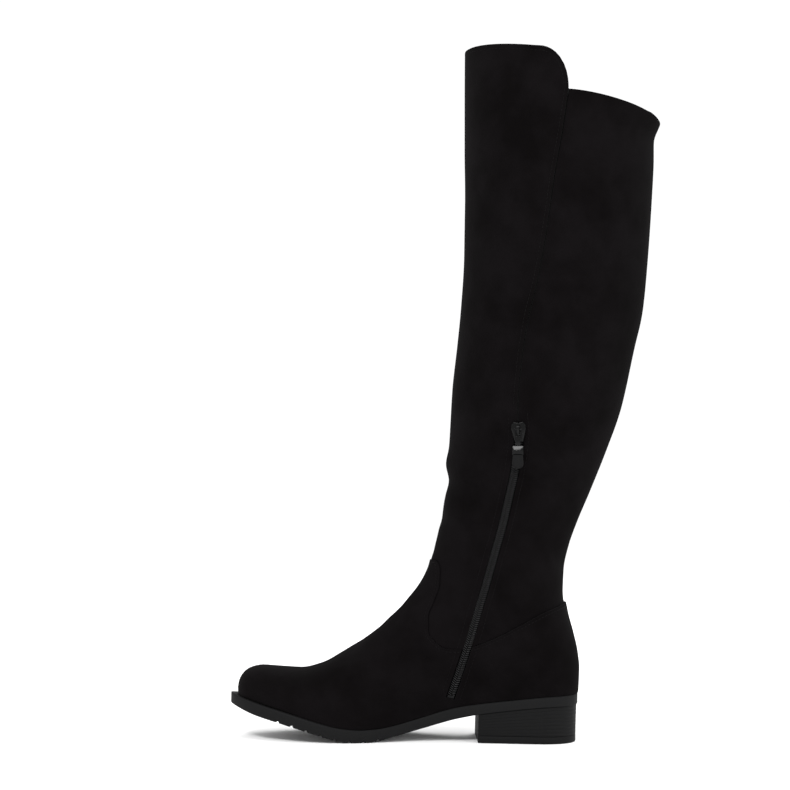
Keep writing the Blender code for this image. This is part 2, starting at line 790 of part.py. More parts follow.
def pivot_empty(name, slider_body):
    """An empty on the pull's hinge line, turned so that its Z axis is upright."""
    at = slider_body.matrix_world @ Vector((0, SLIDER_PLATE + PIN / 2 + EYE_PLAY, 0))
    level = slider_body.matrix_world.to_3x3() @ Vector((1, 0, 0))
    out = Vector((0, 0, 1)).cross(level)
    pivot = bpy.data.objects.new(name, None)
    bpy.context.scene.collection.objects.link(pivot)
    pivot.matrix_world = Matrix((level, out, (0, 0, 1))).transposed().to_4x4()
    pivot.location = at
    return pivot


def link(name, pivot, shape, finish):
    """A pull cut from plate, with the eye that goes round the slider's bridge."""
    eye = BRIDGE_WIDTH / 2 + EYE_PLAY
    far = math.hypot(BRIDGE_REACH, PIN / 2 + EYE_PLAY + BRIDGE_BAR) + EYE_PLAY
    hole = ((-eye, -PIN / 2), (eye, -PIN / 2), (eye, -far), (-eye, -far))
    piece = plate(name, shape, -PIN / 2, PIN / 2, finish)
    cut = plate(f"{name}_eye", hole, -PIN, PIN)
    piece.parent = cut.parent = pivot
    boolean(piece, cut, "DIFFERENCE")


def coil_pull(pivot):
    """The inner zip's pull: a metal link and a longer moulded grip."""
    half = BRIDGE_WIDTH / 2 + EYE_PLAY + LINK_SIDE
    neck = half * 0.72
    right = ((half, PIN / 2), (half, -EYE_END), (neck, -LINK_NECK), (neck, -COIL_LINK))
    shape = [*right, *[(-u, w) for u, w in right[::-1]]]
    link("inner_pull_link", pivot, shape, material("black metal", BLACK_METAL))
    top, wide = -COIL_LINK - GAP, COIL_GRIP_WIDTH / 2
    low = top - COIL_GRIP_LENGTH
    middle, thick = (top + low) / 2, COIL_GRIP_THICK / 2
    shape = [(wide * 0.86, top), *round_end(wide, low, 0.9), (-wide * 0.86, top)]
    rings = []
    for n, shrink in ((-1.0, 0.88), (-0.55, 1.0), (0.55, 1.0), (1.0, 0.88)):
        upright = (1 + shrink) / 2
        rings.append([
            Vector((u * shrink, n * thick, middle + (w - middle) * upright)) for u, w in shape
        ])
    loft("inner_pull_grip", rings, material("moulded grip", RUBBER)).parent = pivot


def metal_pull(pivot):
    """The outer zip's pull: one slim plate."""
    half, wide = BRIDGE_WIDTH / 2 + EYE_PLAY + LINK_SIDE, METAL_PULL_WIDTH / 2
    neck = half * 0.62
    right = ((half, PIN / 2), (half, -EYE_END), (neck, -LINK_NECK), (wide * 0.8, -METAL_NECK))
    tip = round_end(wide, -METAL_PULL, 0.7)
    shape = [*right, *tip, *[(-u, w) for u, w in right[::-1]]]
    link("outer_pull", pivot, shape, material("gold metal", GOLD))


def sole_stations():
    """Places along the sole, with the edges of its lugs, each with how far its bottom is cut up."""
    toe, back = HEEL_BACK - FOOT_LENGTH - TOE_LIP, HEEL_BACK + HEEL_LIP
    length = back - toe
    places = [(toe + length * share, 0.0) for share in (0.0012, 0.010, 0.028, 0.055, 0.080, 0.110)]
    first, last = toe + length * LUG_START, toe + length * LUG_END
    x = first
    while x + LUG_PITCH < last:
        places += [
            (x, 0.0),
            (x + LUG_DRAFT, LUG_DEPTH),
            (x + LUG_GAP - LUG_DRAFT, LUG_DEPTH),
            (x + LUG_GAP, 0.0),
        ]
        x += LUG_PITCH
    x += LUG_GAP
    while x < toe + length * 0.87:
        places.append((x, 0.0))
        x += WAIST_STEP
    heel = [toe + length * share for share in (0.89, 0.92, 0.945, 0.965, 0.982, 0.993, 0.9992)]
    return places + [(x, 0.0) for x in heel]


def sole_ring(x, cut):
    """A cross-section of the sole, round at its top and bottom edges."""
    half, shift = outline(sole_share(x), BALL_WIDTH + 2 * SIDE_LIP)
    top, bottom = seat(x), tread(x) + cut
    r = min(EDGE_ROUND, half * 0.5)
    side = ((half - r, bottom), (half - 0.3 * r, bottom + 0.3 * r), (half, bottom + r))
    side += ((half, top - r), (half - 0.3 * r, top - 0.3 * r), (half - r, top))
    right = [Vector((x, shift + y, z)) for y, z in side]
    left = [Vector((x, shift - y, z)) for y, z in side[::-1]]
    return right + left


def outsole():
    """The full-length moulded sole with its lugs."""
    rings = [sole_ring(x, cut) for x, cut in sole_stations()]
    loft("outsole", rings, material("sole rubber", RUBBER))


def heel_outline(inset, z_of):
    """The heel's outline in plan: a straight breast and the sole's round back."""
    breast = -HEEL_LENGTH / 2
    points = []
    for i in range(11):
        turn = math.pi / 2 * i / 10
        x = breast + (HEEL_LENGTH - inset) * math.sin(turn)
        share = sole_share(x + HEEL_INSET * (x - breast) / HEEL_LENGTH)
        half, shift = outline(max(share, 0.0008), BALL_WIDTH + 2 * SIDE_LIP)
        points.append((x, max(half - HEEL_INSET - inset, HEEL_TAPER), shift))
    right = [Vector((x, shift + half, z_of(x))) for x, half, shift in points]
    left = [Vector((x, shift - half, z_of(x))) for x, half, shift in points[::-1]]
    return right + left


def heel():
    """The heel block with its lift lines, and the top piece that it stands on."""
    low = TOP_PIECE + GAP
    under = tread(-HEEL_LENGTH / 2) - GAP
    lines = int((under - low - LIFT_MARGIN) / LIFT_PITCH)
    levels = [(low, 0.0)]
    for i in range(1, lines + 1):
        z = low + LIFT_PITCH * i
        levels += [(z - LIFT_GROOVE, 0.0), (z, LIFT_GROOVE), (z + LIFT_GROOVE, 0.0)]
    rings = []
    for z, groove in levels:
        share = 1 - z / under
        rings.append(heel_outline(HEEL_TAPER * share + groove, lambda x, z=z: z))
    rings.append(heel_outline(0.0, lambda x: tread(x) - GAP))
    loft("heel_block", rings, material("heel", RUBBER))
    rings = [
        heel_outline(HEEL_TAPER + inset, lambda x, z=z: z)
        for z, inset in ((0.0, HEEL_CHAMFER), (HEEL_CHAMFER, 0.0), (TOP_PIECE, 0.0))
    ]
    loft("top_piece", rings, material("top piece", RUBBER))


def insole():
    """The footbed inside the upper, on the sole."""
    inset = WALL + INSOLE_PLAY
    rings = []
    for i in range(25):
        share = 0.5 - 0.5 * math.cos(math.pi * (0.03 + 0.94 * i / 24))
        x = HEEL_BACK - inset - share * (FOOT_LENGTH - 2 * inset)
        half = outline(share, BALL_WIDTH - 2 * inset)[0]
        shift = outline((HEEL_BACK - x) / FOOT_LENGTH, BALL_WIDTH)[1]
        z = seat(x) + GAP
        corners = ((-half, z), (half, z), (half, z + INSOLE), (-half, z + INSOLE))
        rings.append([Vector((x, shift + y, h)) for y, h in corners])
    loft("insole", rings, material("insole", TEXTILE))


def build():
    """The whole boot."""
    for old in list(bpy.data.objects):
        bpy.data.objects.remove(old)

    suede = material("suede", SUEDE)
    upper_places = [*range(10), *[9.5 + i / 2 for i in range(16)], *range(18, FIRST_CLOSED + 9)]
    upper_places = sorted(set(upper_places))
    upper = shell("upper", upper_places, VAMP_PROUD, False, suede)
    shaft_places = [12.6, 13.3, 14, 15, 16, 17, 18, 19, 20, *range(FIRST_CLOSED, LAST + 1)]
    shaft = shell("shaft", shaft_places, 0.0, True, suede)

    boolean(upper, vamp_cutter("below_vamp_line", False), "INTERSECT", "MANIFOLD")
    boolean(shaft, vamp_cutter("above_vamp_line", True), "INTERSECT", "MANIFOLD")
    boolean(shaft, collar_cutter(), "DIFFERENCE", "MANIFOLD")

    coil = zip_path(MEDIAL_LINE, COIL_TOP, COIL_LOW, COIL_STEPS)
    metal = zip_path(LATERAL_LINE, METAL_TOP, METAL_LOW, METAL_STEPS)
    zips = (
        ("inner_zip", coil, COIL_WIDTH, -1, material("coil zip", NYLON)),
        ("outer_zip", metal, METAL_WIDTH, 1, material("zip tape", TEXTILE)),
    )
    for name, path, width, side, finish in zips:
        slot = slot_cutter(f"{name}_slot", path, width, side)
        boolean(upper, slot, "DIFFERENCE", "MANIFOLD")
        boolean(shaft, slot, "DIFFERENCE", "MANIFOLD")
        zip_solid(name, path, width, side, finish)

    black_metal, gold = material("black metal", BLACK_METAL), material("gold metal", GOLD)
    stop = SLIDER_STOP * SLIDER_LENGTH
    coil_slider = slider("inner_slider", MEDIAL_LINE, coil[-1][1] - stop, -1, black_metal)
    coil_pull(pivot_empty("inner_pull_pivot", coil_slider))
    metal_slider = slider("outer_slider", LATERAL_LINE, metal[-1][1] - stop, 1, gold)
    metal_pull(pivot_empty("outer_pull_pivot", metal_slider))

    outsole()
    heel()
    insole()


build()
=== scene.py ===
"""Looks of a black suede knee-high boot for the right foot.

Metres, in the part's own frame: the toe points to -X, the inner side of the foot faces -Y and +Z
runs up the shaft. The origin is on the floor, under the middle of the heel block.
"""

import functools
import math

import bmesh
import bpy
import numpy as np
from mathutils import Matrix, Vector


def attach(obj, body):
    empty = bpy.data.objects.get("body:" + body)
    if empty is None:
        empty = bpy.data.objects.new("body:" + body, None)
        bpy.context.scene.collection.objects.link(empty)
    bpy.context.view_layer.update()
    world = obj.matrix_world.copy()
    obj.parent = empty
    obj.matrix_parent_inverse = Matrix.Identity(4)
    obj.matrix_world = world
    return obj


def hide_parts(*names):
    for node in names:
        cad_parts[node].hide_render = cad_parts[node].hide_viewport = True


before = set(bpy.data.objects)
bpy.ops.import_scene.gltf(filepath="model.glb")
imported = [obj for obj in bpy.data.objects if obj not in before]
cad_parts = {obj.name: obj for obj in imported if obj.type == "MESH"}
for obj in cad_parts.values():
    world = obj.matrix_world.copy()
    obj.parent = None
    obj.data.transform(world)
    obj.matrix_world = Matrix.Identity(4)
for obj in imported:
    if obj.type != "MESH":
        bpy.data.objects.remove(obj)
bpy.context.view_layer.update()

# The last and the shaft.
FOOT_LENGTH = 0.260
BALL_WIDTH = 0.0855
INSTEP_HEIGHT = 0.105
HEEL_RISE = 0.0275
TOE_SPRING = 0.0240
SHAFT_HEIGHT = 0.492
TOP_DEPTH = 0.1483
TOP_WIDTH = 0.1256
COLLAR_FALL = 0.0070
COLLAR_POWER = 1.1
BACK_FALL = 0.0153
BACK_POWER = 1.4
NOTCH_DROP = 0.0325
NOTCH_RUN = 0.0240
CORNER_POWER = 0.95

# Walls, steps and clearances.
WALL = 0.0020
VAMP_PROUD = 0.0008
PANEL_STEP = 0.0008
GAP = 0.0003
TAPE_GAP = 0.0011
FOLD_ROUND = 0.0007
FOLD_RADIUS = 0.00045
CREASE_FLOOR = 0.050

# The moulded sole, heel and top piece.
BALL_SEAT = 0.0098
SOLE_EDGE = 0.0078
TOE_LIP = 0.0066
SIDE_LIP = 0.0024
HEEL_LIP = 0.0004
EDGE_ROUND = 0.0016
LUG_DEPTH = 0.0015
LUG_PITCH = 0.0108
LUG_GAP = 0.0020
LUG_START = 0.140
LUG_END = 0.500
HEEL_LENGTH = 0.0763
HEEL_TUCK = 0.0009
HEEL_INSET = 0.0010
HEEL_TAPER = 0.0004
TOP_PIECE = 0.0055
LIFT_LINES = 8
LIFT_GROOVE = 0.00020
LIFT_SEAM = 0.00012
INSOLE = 0.0025
INSOLE_PLAY = 0.0016

# The zips, sliders and pulls.
COIL_WIDTH = 0.0062
METAL_WIDTH = 0.0058
SLOT_PLAY = 0.0004
SLOT_REACH = 0.0040
TAPE_BED = 0.0013
BED_LEAST = 0.0002
SEAM_TAPE = 0.0070
SEAM_TAPE_THICK = 0.0004
TAPE_WIDTH = 0.0200
TAPE = 0.0007
COIL_TOP = 0.420
METAL_TOP = 0.905
COIL_LOW = -0.003
METAL_LOW = 0.012
SLOT_CLOSES = 0.0026
SLOT_SHUT = 0.0022
SLIDER_LENGTH = 0.0150
SLIDER_WIDTH = 0.0110
SLIDER_PLATE = 0.0016
SLIDER_TAIL = 0.62
SLIDER_STOP = 0.42
BRIDGE_WIDTH = 0.0022
BRIDGE_BAR = 0.0013
BRIDGE_REACH = 0.0034
EYE_PLAY = 0.0005
PIN = 0.0014
LINK_SIDE = 0.0011
EYE_END = 0.0064
LINK_NECK = 0.0084
METAL_NECK = 0.0150
COIL_LINK = 0.0120
COIL_GRIP_WIDTH = 0.0090
COIL_GRIP_LENGTH = 0.0170
COIL_GRIP_THICK = 0.0030
FERRULE_LENGTH = 0.0066
FERRULE_SLOPE = math.radians(20)
METAL_PULL = 0.0335
METAL_PULL_WIDTH = 0.0068
CHAIN_PROUD = 0.0004
COIL_PITCH = 0.0016
COIL_TURN = 0.0032
COIL_WIRE = 0.00024
COIL_ROW = 0.00145
COIL_SINK = 0.0006
COIL_SLANT = 0.42
TOOTH_PITCH = 0.00135
TOOTH = (0.0036, 0.00105, 0.0016, 0.00025)
TOOTH_ROW = 0.00085
TOOTH_SINK = 0.0007
COIL_STOP = 0.0052
METAL_STOP = 0.0050
STOP = (0.0022, 0.0018, 0.0003)
STOP_PLACE = 0.0020
STOP_SINK = 0.0004

# Sewing.
STITCH_LENGTH = 0.0021
STITCH_PITCH = 0.0030
STITCH_THICK = 0.00048
HEM = 0.0036
PANEL_ROW = 0.0030
VAMP_ROW = 0.0024
ZIP_ROW = 0.0072
ZIP_ROW_PAST = 0.004
SLIDER_CLEAR = 0.012
HEM_FRONT = -0.0535
HEM_BACK = 0.0915

# The photo's camera, the floor and where the lamps look.
EYE = (-0.1042, -1.45, 0.1964)
ROLL = 0.0157
FOCAL_PIXELS = 1878.0
HORIZON_DROP = 87.7
IMAGE_PIXELS = 790.0
SENSOR = 36.0
VIEW_REACH = 50.0
FLOOR = 90.0
LIT = (0.0, 0.0, 0.25)

HEEL_BACK = HEEL_LENGTH / 2 + HEEL_LIP + HEEL_INSET - HEEL_TUCK
HEEL_SEAT = BALL_SEAT + HEEL_RISE
MEDIAL, LATERAL = -1, 1

# Beyond the boot at both ends and above it.
FAR = 0.30
TOP = 0.80

# How finely pieces are divided. K_STEP and T_STEP are the steps along and up the sections over
# which a slope is taken; the spans are about half the girth of each panel.
K_STEP = 0.05
T_STEP = 0.004
HALVINGS = 30
COLLAR_STEPS = 25
FRONT_SPAN = 0.085
BACK_SPAN = 0.080
COLUMN_STEP = 0.0024
ROW_STEP = 0.0056
COLUMN_ENDS = (0.0, 0.0003, 0.0008, 0.0016, 0.0030)
ROW_ENDS = (0.0, 0.0008, 0.002, 0.004, 0.007)
FOOT_COLUMNS = 47
FOOT_ROWS_FINE = 170
SMOOTH_ANGLE = 50
LOFT_ANGLE = 38
COPY_ANGLE = 60
ROUND_STEPS = 14

# The sole along its length, from the back of the heel (0) to the toe (1).
# columns: share of length, share of heel rise, share of toe spring, edge thickness as a share of
# the sole's edge, half width as a share of the ball width, sideways shift as a share of it.
SOLE_ROWS = (
    (0.000, 1.000, 0.000, 1.04, 0.345, 0.000),
    (0.090, 0.955, 0.000, 1.02, 0.345, 0.004),
    (0.180, 0.860, 0.000, 1.00, 0.345, 0.010),
    (0.285, 0.730, 0.000, 1.04, 0.340, 0.024),
    (0.345, 0.630, 0.000, 1.12, 0.336, 0.040),
    (0.395, 0.500, 0.000, 1.14, 0.338, 0.052),
    (0.440, 0.360, 0.000, 1.12, 0.352, 0.060),
    (0.485, 0.230, 0.000, 1.10, 0.376, 0.064),
    (0.533, 0.104, 0.000, 1.12, 0.408, 0.062),
    (0.580, 0.025, 0.000, 1.22, 0.440, 0.055),
    (0.625, 0.000, 0.000, 1.34, 0.468, 0.045),
    (0.680, 0.000, 0.058, 1.27, 0.491, 0.032),
    (0.735, 0.000, 0.200, 1.22, 0.500, 0.018),
    (0.792, 0.000, 0.385, 1.20, 0.500, 0.004),
    (0.850, 0.000, 0.565, 1.20, 0.500, -0.010),
    (0.920, 0.000, 0.760, 1.20, 0.500, -0.024),
    (1.000, 0.000, 1.000, 1.02, 0.500, -0.032),
)
HEEL_ROUND = 0.115
TOE_ROUND = 0.280

# Sections of the foot, from the toe to the back of the heel, open below where they meet the sole.
# columns: foot of the section and its ridge, as shares of foot length from the heel; rise of the
# ridge as a share of instep height; half width as a share of the ball width; where it is widest, up
# the section; roundness below and above that; sideways shift of the ridge as a share of the width.
FOOT_ROWS = (
    (0.964, 1.000, 0.029, 0.215, 0.02, 2.00, 2.05, -0.036),
    (0.960, 1.002, 0.072, 0.225, 0.02, 2.00, 2.05, -0.036),
    (0.952, 0.999, 0.127, 0.248, 0.03, 2.00, 2.10, -0.036),
    (0.941, 0.989, 0.184, 0.280, 0.05, 2.00, 2.20, -0.036),
    (0.921, 0.967, 0.239, 0.328, 0.08, 2.00, 2.25, -0.035),
    (0.894, 0.932, 0.273, 0.385, 0.11, 2.00, 2.30, -0.034),
    (0.856, 0.879, 0.290, 0.436, 0.14, 2.00, 2.25, -0.032),
    (0.810, 0.818, 0.316, 0.478, 0.17, 2.00, 2.15, -0.030),
    (0.756, 0.756, 0.393, 0.505, 0.20, 2.00, 2.00, -0.028),
    (0.698, 0.700, 0.504, 0.513, 0.22, 2.00, 1.88, -0.026),
    (0.633, 0.645, 0.608, 0.503, 0.24, 2.00, 1.78, -0.024),
    (0.564, 0.588, 0.699, 0.475, 0.26, 2.00, 1.70, -0.022),
    (0.487, 0.536, 0.766, 0.440, 0.29, 2.00, 1.68, -0.020),
    (0.395, 0.501, 0.795, 0.418, 0.33, 2.05, 1.70, -0.018),
    (0.295, 0.475, 0.825, 0.415, 0.38, 2.10, 1.74, -0.014),
    (0.195, 0.456, 0.873, 0.424, 0.42, 2.15, 1.78, -0.010),
    (0.110, 0.445, 0.913, 0.434, 0.45, 2.20, 1.82, -0.006),
    (0.065, 0.441, 0.940, 0.439, 0.46, 2.22, 1.84, -0.004),
    (0.033, 0.438, 0.964, 0.442, 0.47, 2.25, 1.85, -0.002),
    (0.014, 0.436, 0.982, 0.444, 0.47, 2.28, 1.86, -0.001),
    (0.004, 0.434, 0.994, 0.445, 0.48, 2.30, 1.87, 0.000),
)

# Closed sections of the ankle and shaft.
# columns: back point forward of the heel back as a share of the top depth, its height as a share of
# shaft height; the same for the front point; half width as a share of the top width; where it is
# widest, from the back; roundness behind and in front of that.
SHAFT_ROWS = (
    (0.000, 0.000, 0.759, 0.213, 0.303, 0.48, 2.30, 1.88),
    (-0.003, 0.018, 0.757, 0.216, 0.304, 0.48, 2.32, 1.88),
    (-0.004, 0.038, 0.753, 0.222, 0.306, 0.48, 2.34, 1.89),
    (0.006, 0.064, 0.747, 0.230, 0.308, 0.49, 2.34, 1.90),
    (0.029, 0.093, 0.739, 0.241, 0.312, 0.49, 2.32, 1.90),
    (0.058, 0.124, 0.731, 0.253, 0.316, 0.50, 2.28, 1.90),
    (0.077, 0.158, 0.720, 0.268, 0.321, 0.50, 2.24, 1.90),
    (0.074, 0.191, 0.710, 0.287, 0.328, 0.50, 2.20, 1.90),
    (0.051, 0.228, 0.700, 0.309, 0.338, 0.50, 2.18, 1.90),
    (0.011, 0.264, 0.693, 0.334, 0.350, 0.50, 2.16, 1.90),
    (-0.060, 0.317, 0.686, 0.370, 0.374, 0.50, 2.14, 1.90),
    (-0.140, 0.380, 0.680, 0.419, 0.398, 0.50, 2.12, 1.90),
    (-0.210, 0.443, 0.672, 0.472, 0.426, 0.50, 2.10, 1.90),
    (-0.272, 0.534, 0.650, 0.541, 0.460, 0.50, 2.10, 1.90),
    (-0.315, 0.598, 0.634, 0.600, 0.480, 0.50, 2.10, 1.90),
    (-0.337, 0.681, 0.622, 0.681, 0.495, 0.50, 2.10, 1.90),
    (-0.351, 0.762, 0.622, 0.762, 0.501, 0.50, 2.10, 1.90),
    (-0.359, 0.829, 0.628, 0.839, 0.502, 0.50, 2.10, 1.90),
    (-0.358, 0.858, 0.630, 0.880, 0.502, 0.50, 2.10, 1.90),
    (-0.379, 0.890, 0.633, 0.941, 0.502, 0.50, 2.10, 1.90),
    (-0.385, 0.935, 0.636, 1.033, 0.502, 0.50, 2.10, 1.90),
)
FIRST_CLOSED = len(FOOT_ROWS)

# Where the front panel ends on each side, from the collar down to the sole. Below the sliders the
# zips run along these lines.
# columns: height above the heel seat as a share of shaft height, forward of the heel back as a
# share of the top depth.
MEDIAL_LINE = (
    (-0.030, 0.687), (0.000, 0.657), (0.039, 0.617), (0.080, 0.575), (0.115, 0.544),
    (0.174, 0.490), (0.215, 0.456), (0.254, 0.422), (0.301, 0.389), (0.345, 0.361),
    (0.402, 0.344), (0.440, 0.354), (0.498, 0.343), (0.573, 0.312), (0.632, 0.268),
    (0.707, 0.228), (0.789, 0.193), (0.856, 0.157), (0.930, 0.124),
)
LATERAL_LINE = (
    (0.000, 0.262), (0.067, 0.300), (0.122, 0.338), (0.185, 0.388), (0.230, 0.408),
    (0.280, 0.404), (0.333, 0.368), (0.378, 0.346), (0.417, 0.314), (0.459, 0.280),
    (0.543, 0.212), (0.626, 0.128), (0.711, 0.076), (0.815, 0.036), (0.930, -0.014),
)

# Where the foot part ends and the shaft begins, seen from the side.
# columns: forward of the heel back as a share of foot length, height above the heel seat as a share
# of instep height.
VAMP_LINE = (
    (0.480, 0.960), (0.424, 0.955), (0.413, 0.880), (0.414, 0.790), (0.430, 0.660),
    (0.446, 0.550), (0.445, 0.445), (0.424, 0.372), (0.390, 0.328), (0.352, 0.326),
    (0.300, 0.360), (0.240, 0.425), (0.170, 0.520), (0.100, 0.610), (0.040, 0.660),
    (-0.020, 0.700),
)

# The main creases. Each is a soft trough (negative depth) or ridge along a line on one side.
# columns: side, depth and width in millimetres, then points of the line in the side view, each as
# forward of the heel back over the top depth, and height above the heel seat over shaft height.
CREASES = (
    (MEDIAL, -1.5, 7.0, ((0.700, 0.330), (0.600, 0.300), (0.480, 0.292))),
    (MEDIAL, 1.0, 7.0, ((0.690, 0.362), (0.600, 0.334), (0.470, 0.320))),
    (MEDIAL, -1.1, 6.0, ((0.715, 0.270), (0.640, 0.248), (0.560, 0.245))),
    (MEDIAL, -1.3, 8.0, ((0.330, 0.250), (0.220, 0.235), (0.090, 0.205))),
    (MEDIAL, 0.9, 8.0, ((0.320, 0.285), (0.200, 0.268), (0.080, 0.240))),
    (MEDIAL, -0.8, 7.0, ((0.300, 0.330), (0.180, 0.318), (0.060, 0.285))),
    (MEDIAL, -0.8, 10.0, ((0.660, 0.420), (0.560, 0.455), (0.470, 0.520))),
    (MEDIAL, -0.7, 12.0, ((0.220, 0.460), (0.060, 0.560), (-0.080, 0.690))),
    (MEDIAL, -0.7, 9.0, ((0.600, 0.640), (0.450, 0.650), (0.320, 0.690))),
    (MEDIAL, -0.8, 6.0, ((1.180, 0.050), (1.120, 0.085), (1.030, 0.110))),
    (MEDIAL, -0.7, 6.0, ((1.020, 0.040), (0.985, 0.085), (0.905, 0.130))),
    (LATERAL, -1.4, 7.0, ((0.690, 0.318), (0.590, 0.300), (0.450, 0.300))),
    (LATERAL, 1.0, 7.0, ((0.690, 0.350), (0.590, 0.335), (0.450, 0.330))),
    (LATERAL, -1.2, 7.0, ((0.710, 0.262), (0.620, 0.245), (0.470, 0.262))),
    (LATERAL, -1.2, 8.0, ((0.330, 0.270), (0.220, 0.245), (0.090, 0.215))),
    (LATERAL, 0.8, 8.0, ((0.330, 0.305), (0.200, 0.280), (0.080, 0.250))),
    (LATERAL, -0.8, 10.0, ((0.600, 0.430), (0.450, 0.470), (0.330, 0.540))),
    (LATERAL, -0.7, 9.0, ((0.560, 0.660), (0.400, 0.640), (0.220, 0.660))),
    (LATERAL, -0.7, 6.0, ((1.120, 0.050), (1.050, 0.085), (0.940, 0.110))),
)

# How far the back of the collar turns outwards, and over what height.
FLARE = (0.0016, 0.012)


@functools.lru_cache(maxsize=None)
def curve(rows, column):
    """Places, values and slopes of a table's column, for a cubic that never overshoots."""
    xs = np.array([row[0] for row in rows], float)
    ys = np.array([row[column] for row in rows], float)
    if xs[0] > xs[-1]:
        xs, ys = xs[::-1], ys[::-1]
    steps = np.diff(xs)
    rates = np.diff(ys) / steps
    slopes = [rates[0]]
    for i in range(1, len(rates)):
        if rates[i - 1] * rates[i] <= 0:
            slopes.append(0.0)
            continue
        near, far = 2 * steps[i] + steps[i - 1], steps[i] + 2 * steps[i - 1]
        slopes.append((near + far) / (near / rates[i - 1] + far / rates[i]))
    slopes.append(rates[-1])
    return xs, ys, np.array(slopes)


def smooth(rows, column, at):
    """A table's column between its rows, for one place or many."""
    xs, ys, slopes = curve(rows, column)
    at = np.clip(at, xs[0], xs[-1])
    i = np.clip(np.searchsorted(xs, at, side="right") - 1, 0, len(xs) - 2)
    step = xs[i + 1] - xs[i]
    u = (at - xs[i]) / step
    start = (1 + 2 * u) * (1 - u) ** 2 * ys[i] + u * (1 - u) ** 2 * step * slopes[i]
    end = u * u * (3 - 2 * u) * ys[i + 1] + u * u * (u - 1) * step * slopes[i + 1]
    return start + end


def unit(vectors):
    """Rows of vectors, each scaled to a length of one."""
    return vectors / np.linalg.norm(vectors, axis=-1, keepdims=True)


def sole_share(x):
    """How far along the sole a place is, from the back of the heel to the toe."""
    return (HEEL_BACK + HEEL_LIP - x) / (FOOT_LENGTH + TOE_LIP + HEEL_LIP)


def seat(x):
    """Height of the sole's top, on which the upper stands."""
    share = sole_share(x)
    heel, toe = smooth(SOLE_ROWS, 1, share), smooth(SOLE_ROWS, 2, share)
    return BALL_SEAT + HEEL_RISE * heel + TOE_SPRING * toe


def tread(x):
    """Height of the sole's underside, flat on the floor under the ball."""
    return np.maximum(0.0, seat(x) - SOLE_EDGE * smooth(SOLE_ROWS, 3, sole_share(x)))


def outline(share, width):
    """Half width and sideways shift of a sole-shaped outline of that ball width."""
    half = 2 * smooth(SOLE_ROWS, 4, share)
    back = np.clip(1 - share / HEEL_ROUND, 0.0, 1.0)
    toe = np.clip((share - 1 + TOE_ROUND) / TOE_ROUND, 0.0, 1.0)
    half = half * (1 - back**2.2) ** (1 / 2.2) * (1 - toe**2.1) ** 0.62
    return half * width / 2, smooth(SOLE_ROWS, 5, share) * width


def station_rows():
    """Every section in metres: back x, z, front x, z, half width, widest, roundness, ridge shift."""
    rows = []
    for foot, ridge, rise, half, widest, below, above, shift in FOOT_ROWS:
        x = HEEL_BACK - foot * FOOT_LENGTH
        z = float(seat(x)) + GAP
        front = (HEEL_BACK - ridge * FOOT_LENGTH, z + rise * INSTEP_HEIGHT)
        rows.append((x, z, *front, half * BALL_WIDTH, widest, below, above, shift * BALL_WIDTH))
    for back, low, front, high, half, widest, behind, ahead in SHAFT_ROWS:
        rows.append((
            HEEL_BACK - back * TOP_DEPTH,
            HEEL_SEAT + GAP + low * SHAFT_HEIGHT,
            HEEL_BACK - front * TOP_DEPTH,
            HEEL_SEAT + high * SHAFT_HEIGHT,
            half * TOP_WIDTH,
            widest,
            behind,
            ahead,
            0.0,
        ))
    return tuple((i, *row) for i, row in enumerate(rows))


STATIONS = station_rows()
LAST = len(STATIONS) - 1


def section_ends(k):
    """Back and front point of the sections at places k, in the side view."""
    bx, bz, fx, fz = (smooth(STATIONS, c, k) for c in range(1, 5))
    return bx, np.where(k < FIRST_CLOSED, seat(bx) + GAP, bz), fx, fz


def centres_of(k):
    """The middles of the sections at places k."""
    bx, bz, fx, fz = section_ends(k)
    return np.stack([(bx + fx) / 2, np.zeros(np.shape(bx)), (bz + fz) / 2], axis=-1)


def on_section(k, t, side):
    """Points of the plain outer surface: t runs up the section, side is medial or lateral."""
    k, t = np.broadcast_arrays(np.asarray(k, float), np.asarray(t, float))
    bx, bz, fx, fz = section_ends(k)
    half, widest, low, high, shift = (smooth(STATIONS, c, k) for c in range(5, 10))
    opened = k < FIRST_CLOSED
    bottom, centre = outline((HEEL_BACK - bx) / FOOT_LENGTH, BALL_WIDTH)
    bottom = np.where(opened, bottom, 0.0)
    centre = np.where(opened, centre * np.minimum(1.0, (FIRST_CLOSED - k) / 4), 0.0)
    half = np.maximum(half, bottom)
    q = np.clip((widest - t) / widest, 0.0, 1.0)
    below = np.clip(1 - q**low * (1 - (bottom / half) ** low), 0.0, 1.0) ** (1 / low)
    q = np.clip((t - widest) / (1 - widest), 0.0, 1.0)
    above = np.clip(1 - q**high, 0.0, 1.0) ** (1 / high)
    width = half * np.where(t < widest, below, above)
    middle = centre * (1 - t) + shift * t
    return np.stack([bx + t * (fx - bx), middle + side * width, bz + t * (fz - bz)], axis=-1)


def locate(x, z):
    """The stations and the places up them at which points of the side view lie."""
    x, z = np.asarray(x, float), np.asarray(z, float)
    low, high = np.zeros(x.shape), np.full(x.shape, float(LAST))
    for _ in range(HALVINGS):
        k = (low + high) / 2
        bx, bz, fx, fz = section_ends(k)
        short = (fx - bx) * (z - bz) - (fz - bz) * (x - bx) < 0
        low, high = np.where(short, k, low), np.where(short, high, k)
    t = ((x - bx) * (fx - bx) + (z - bz) * (fz - bz)) / ((fx - bx) ** 2 + (fz - bz) ** 2)
    return k, np.clip(t, 0.0, 1.0)


def plain_surface(x, z, side):
    """Points of the outer surface, without its creases, that the side view shows at x, z."""
    k, t = locate(x, z)
    return on_section(k, t, side)


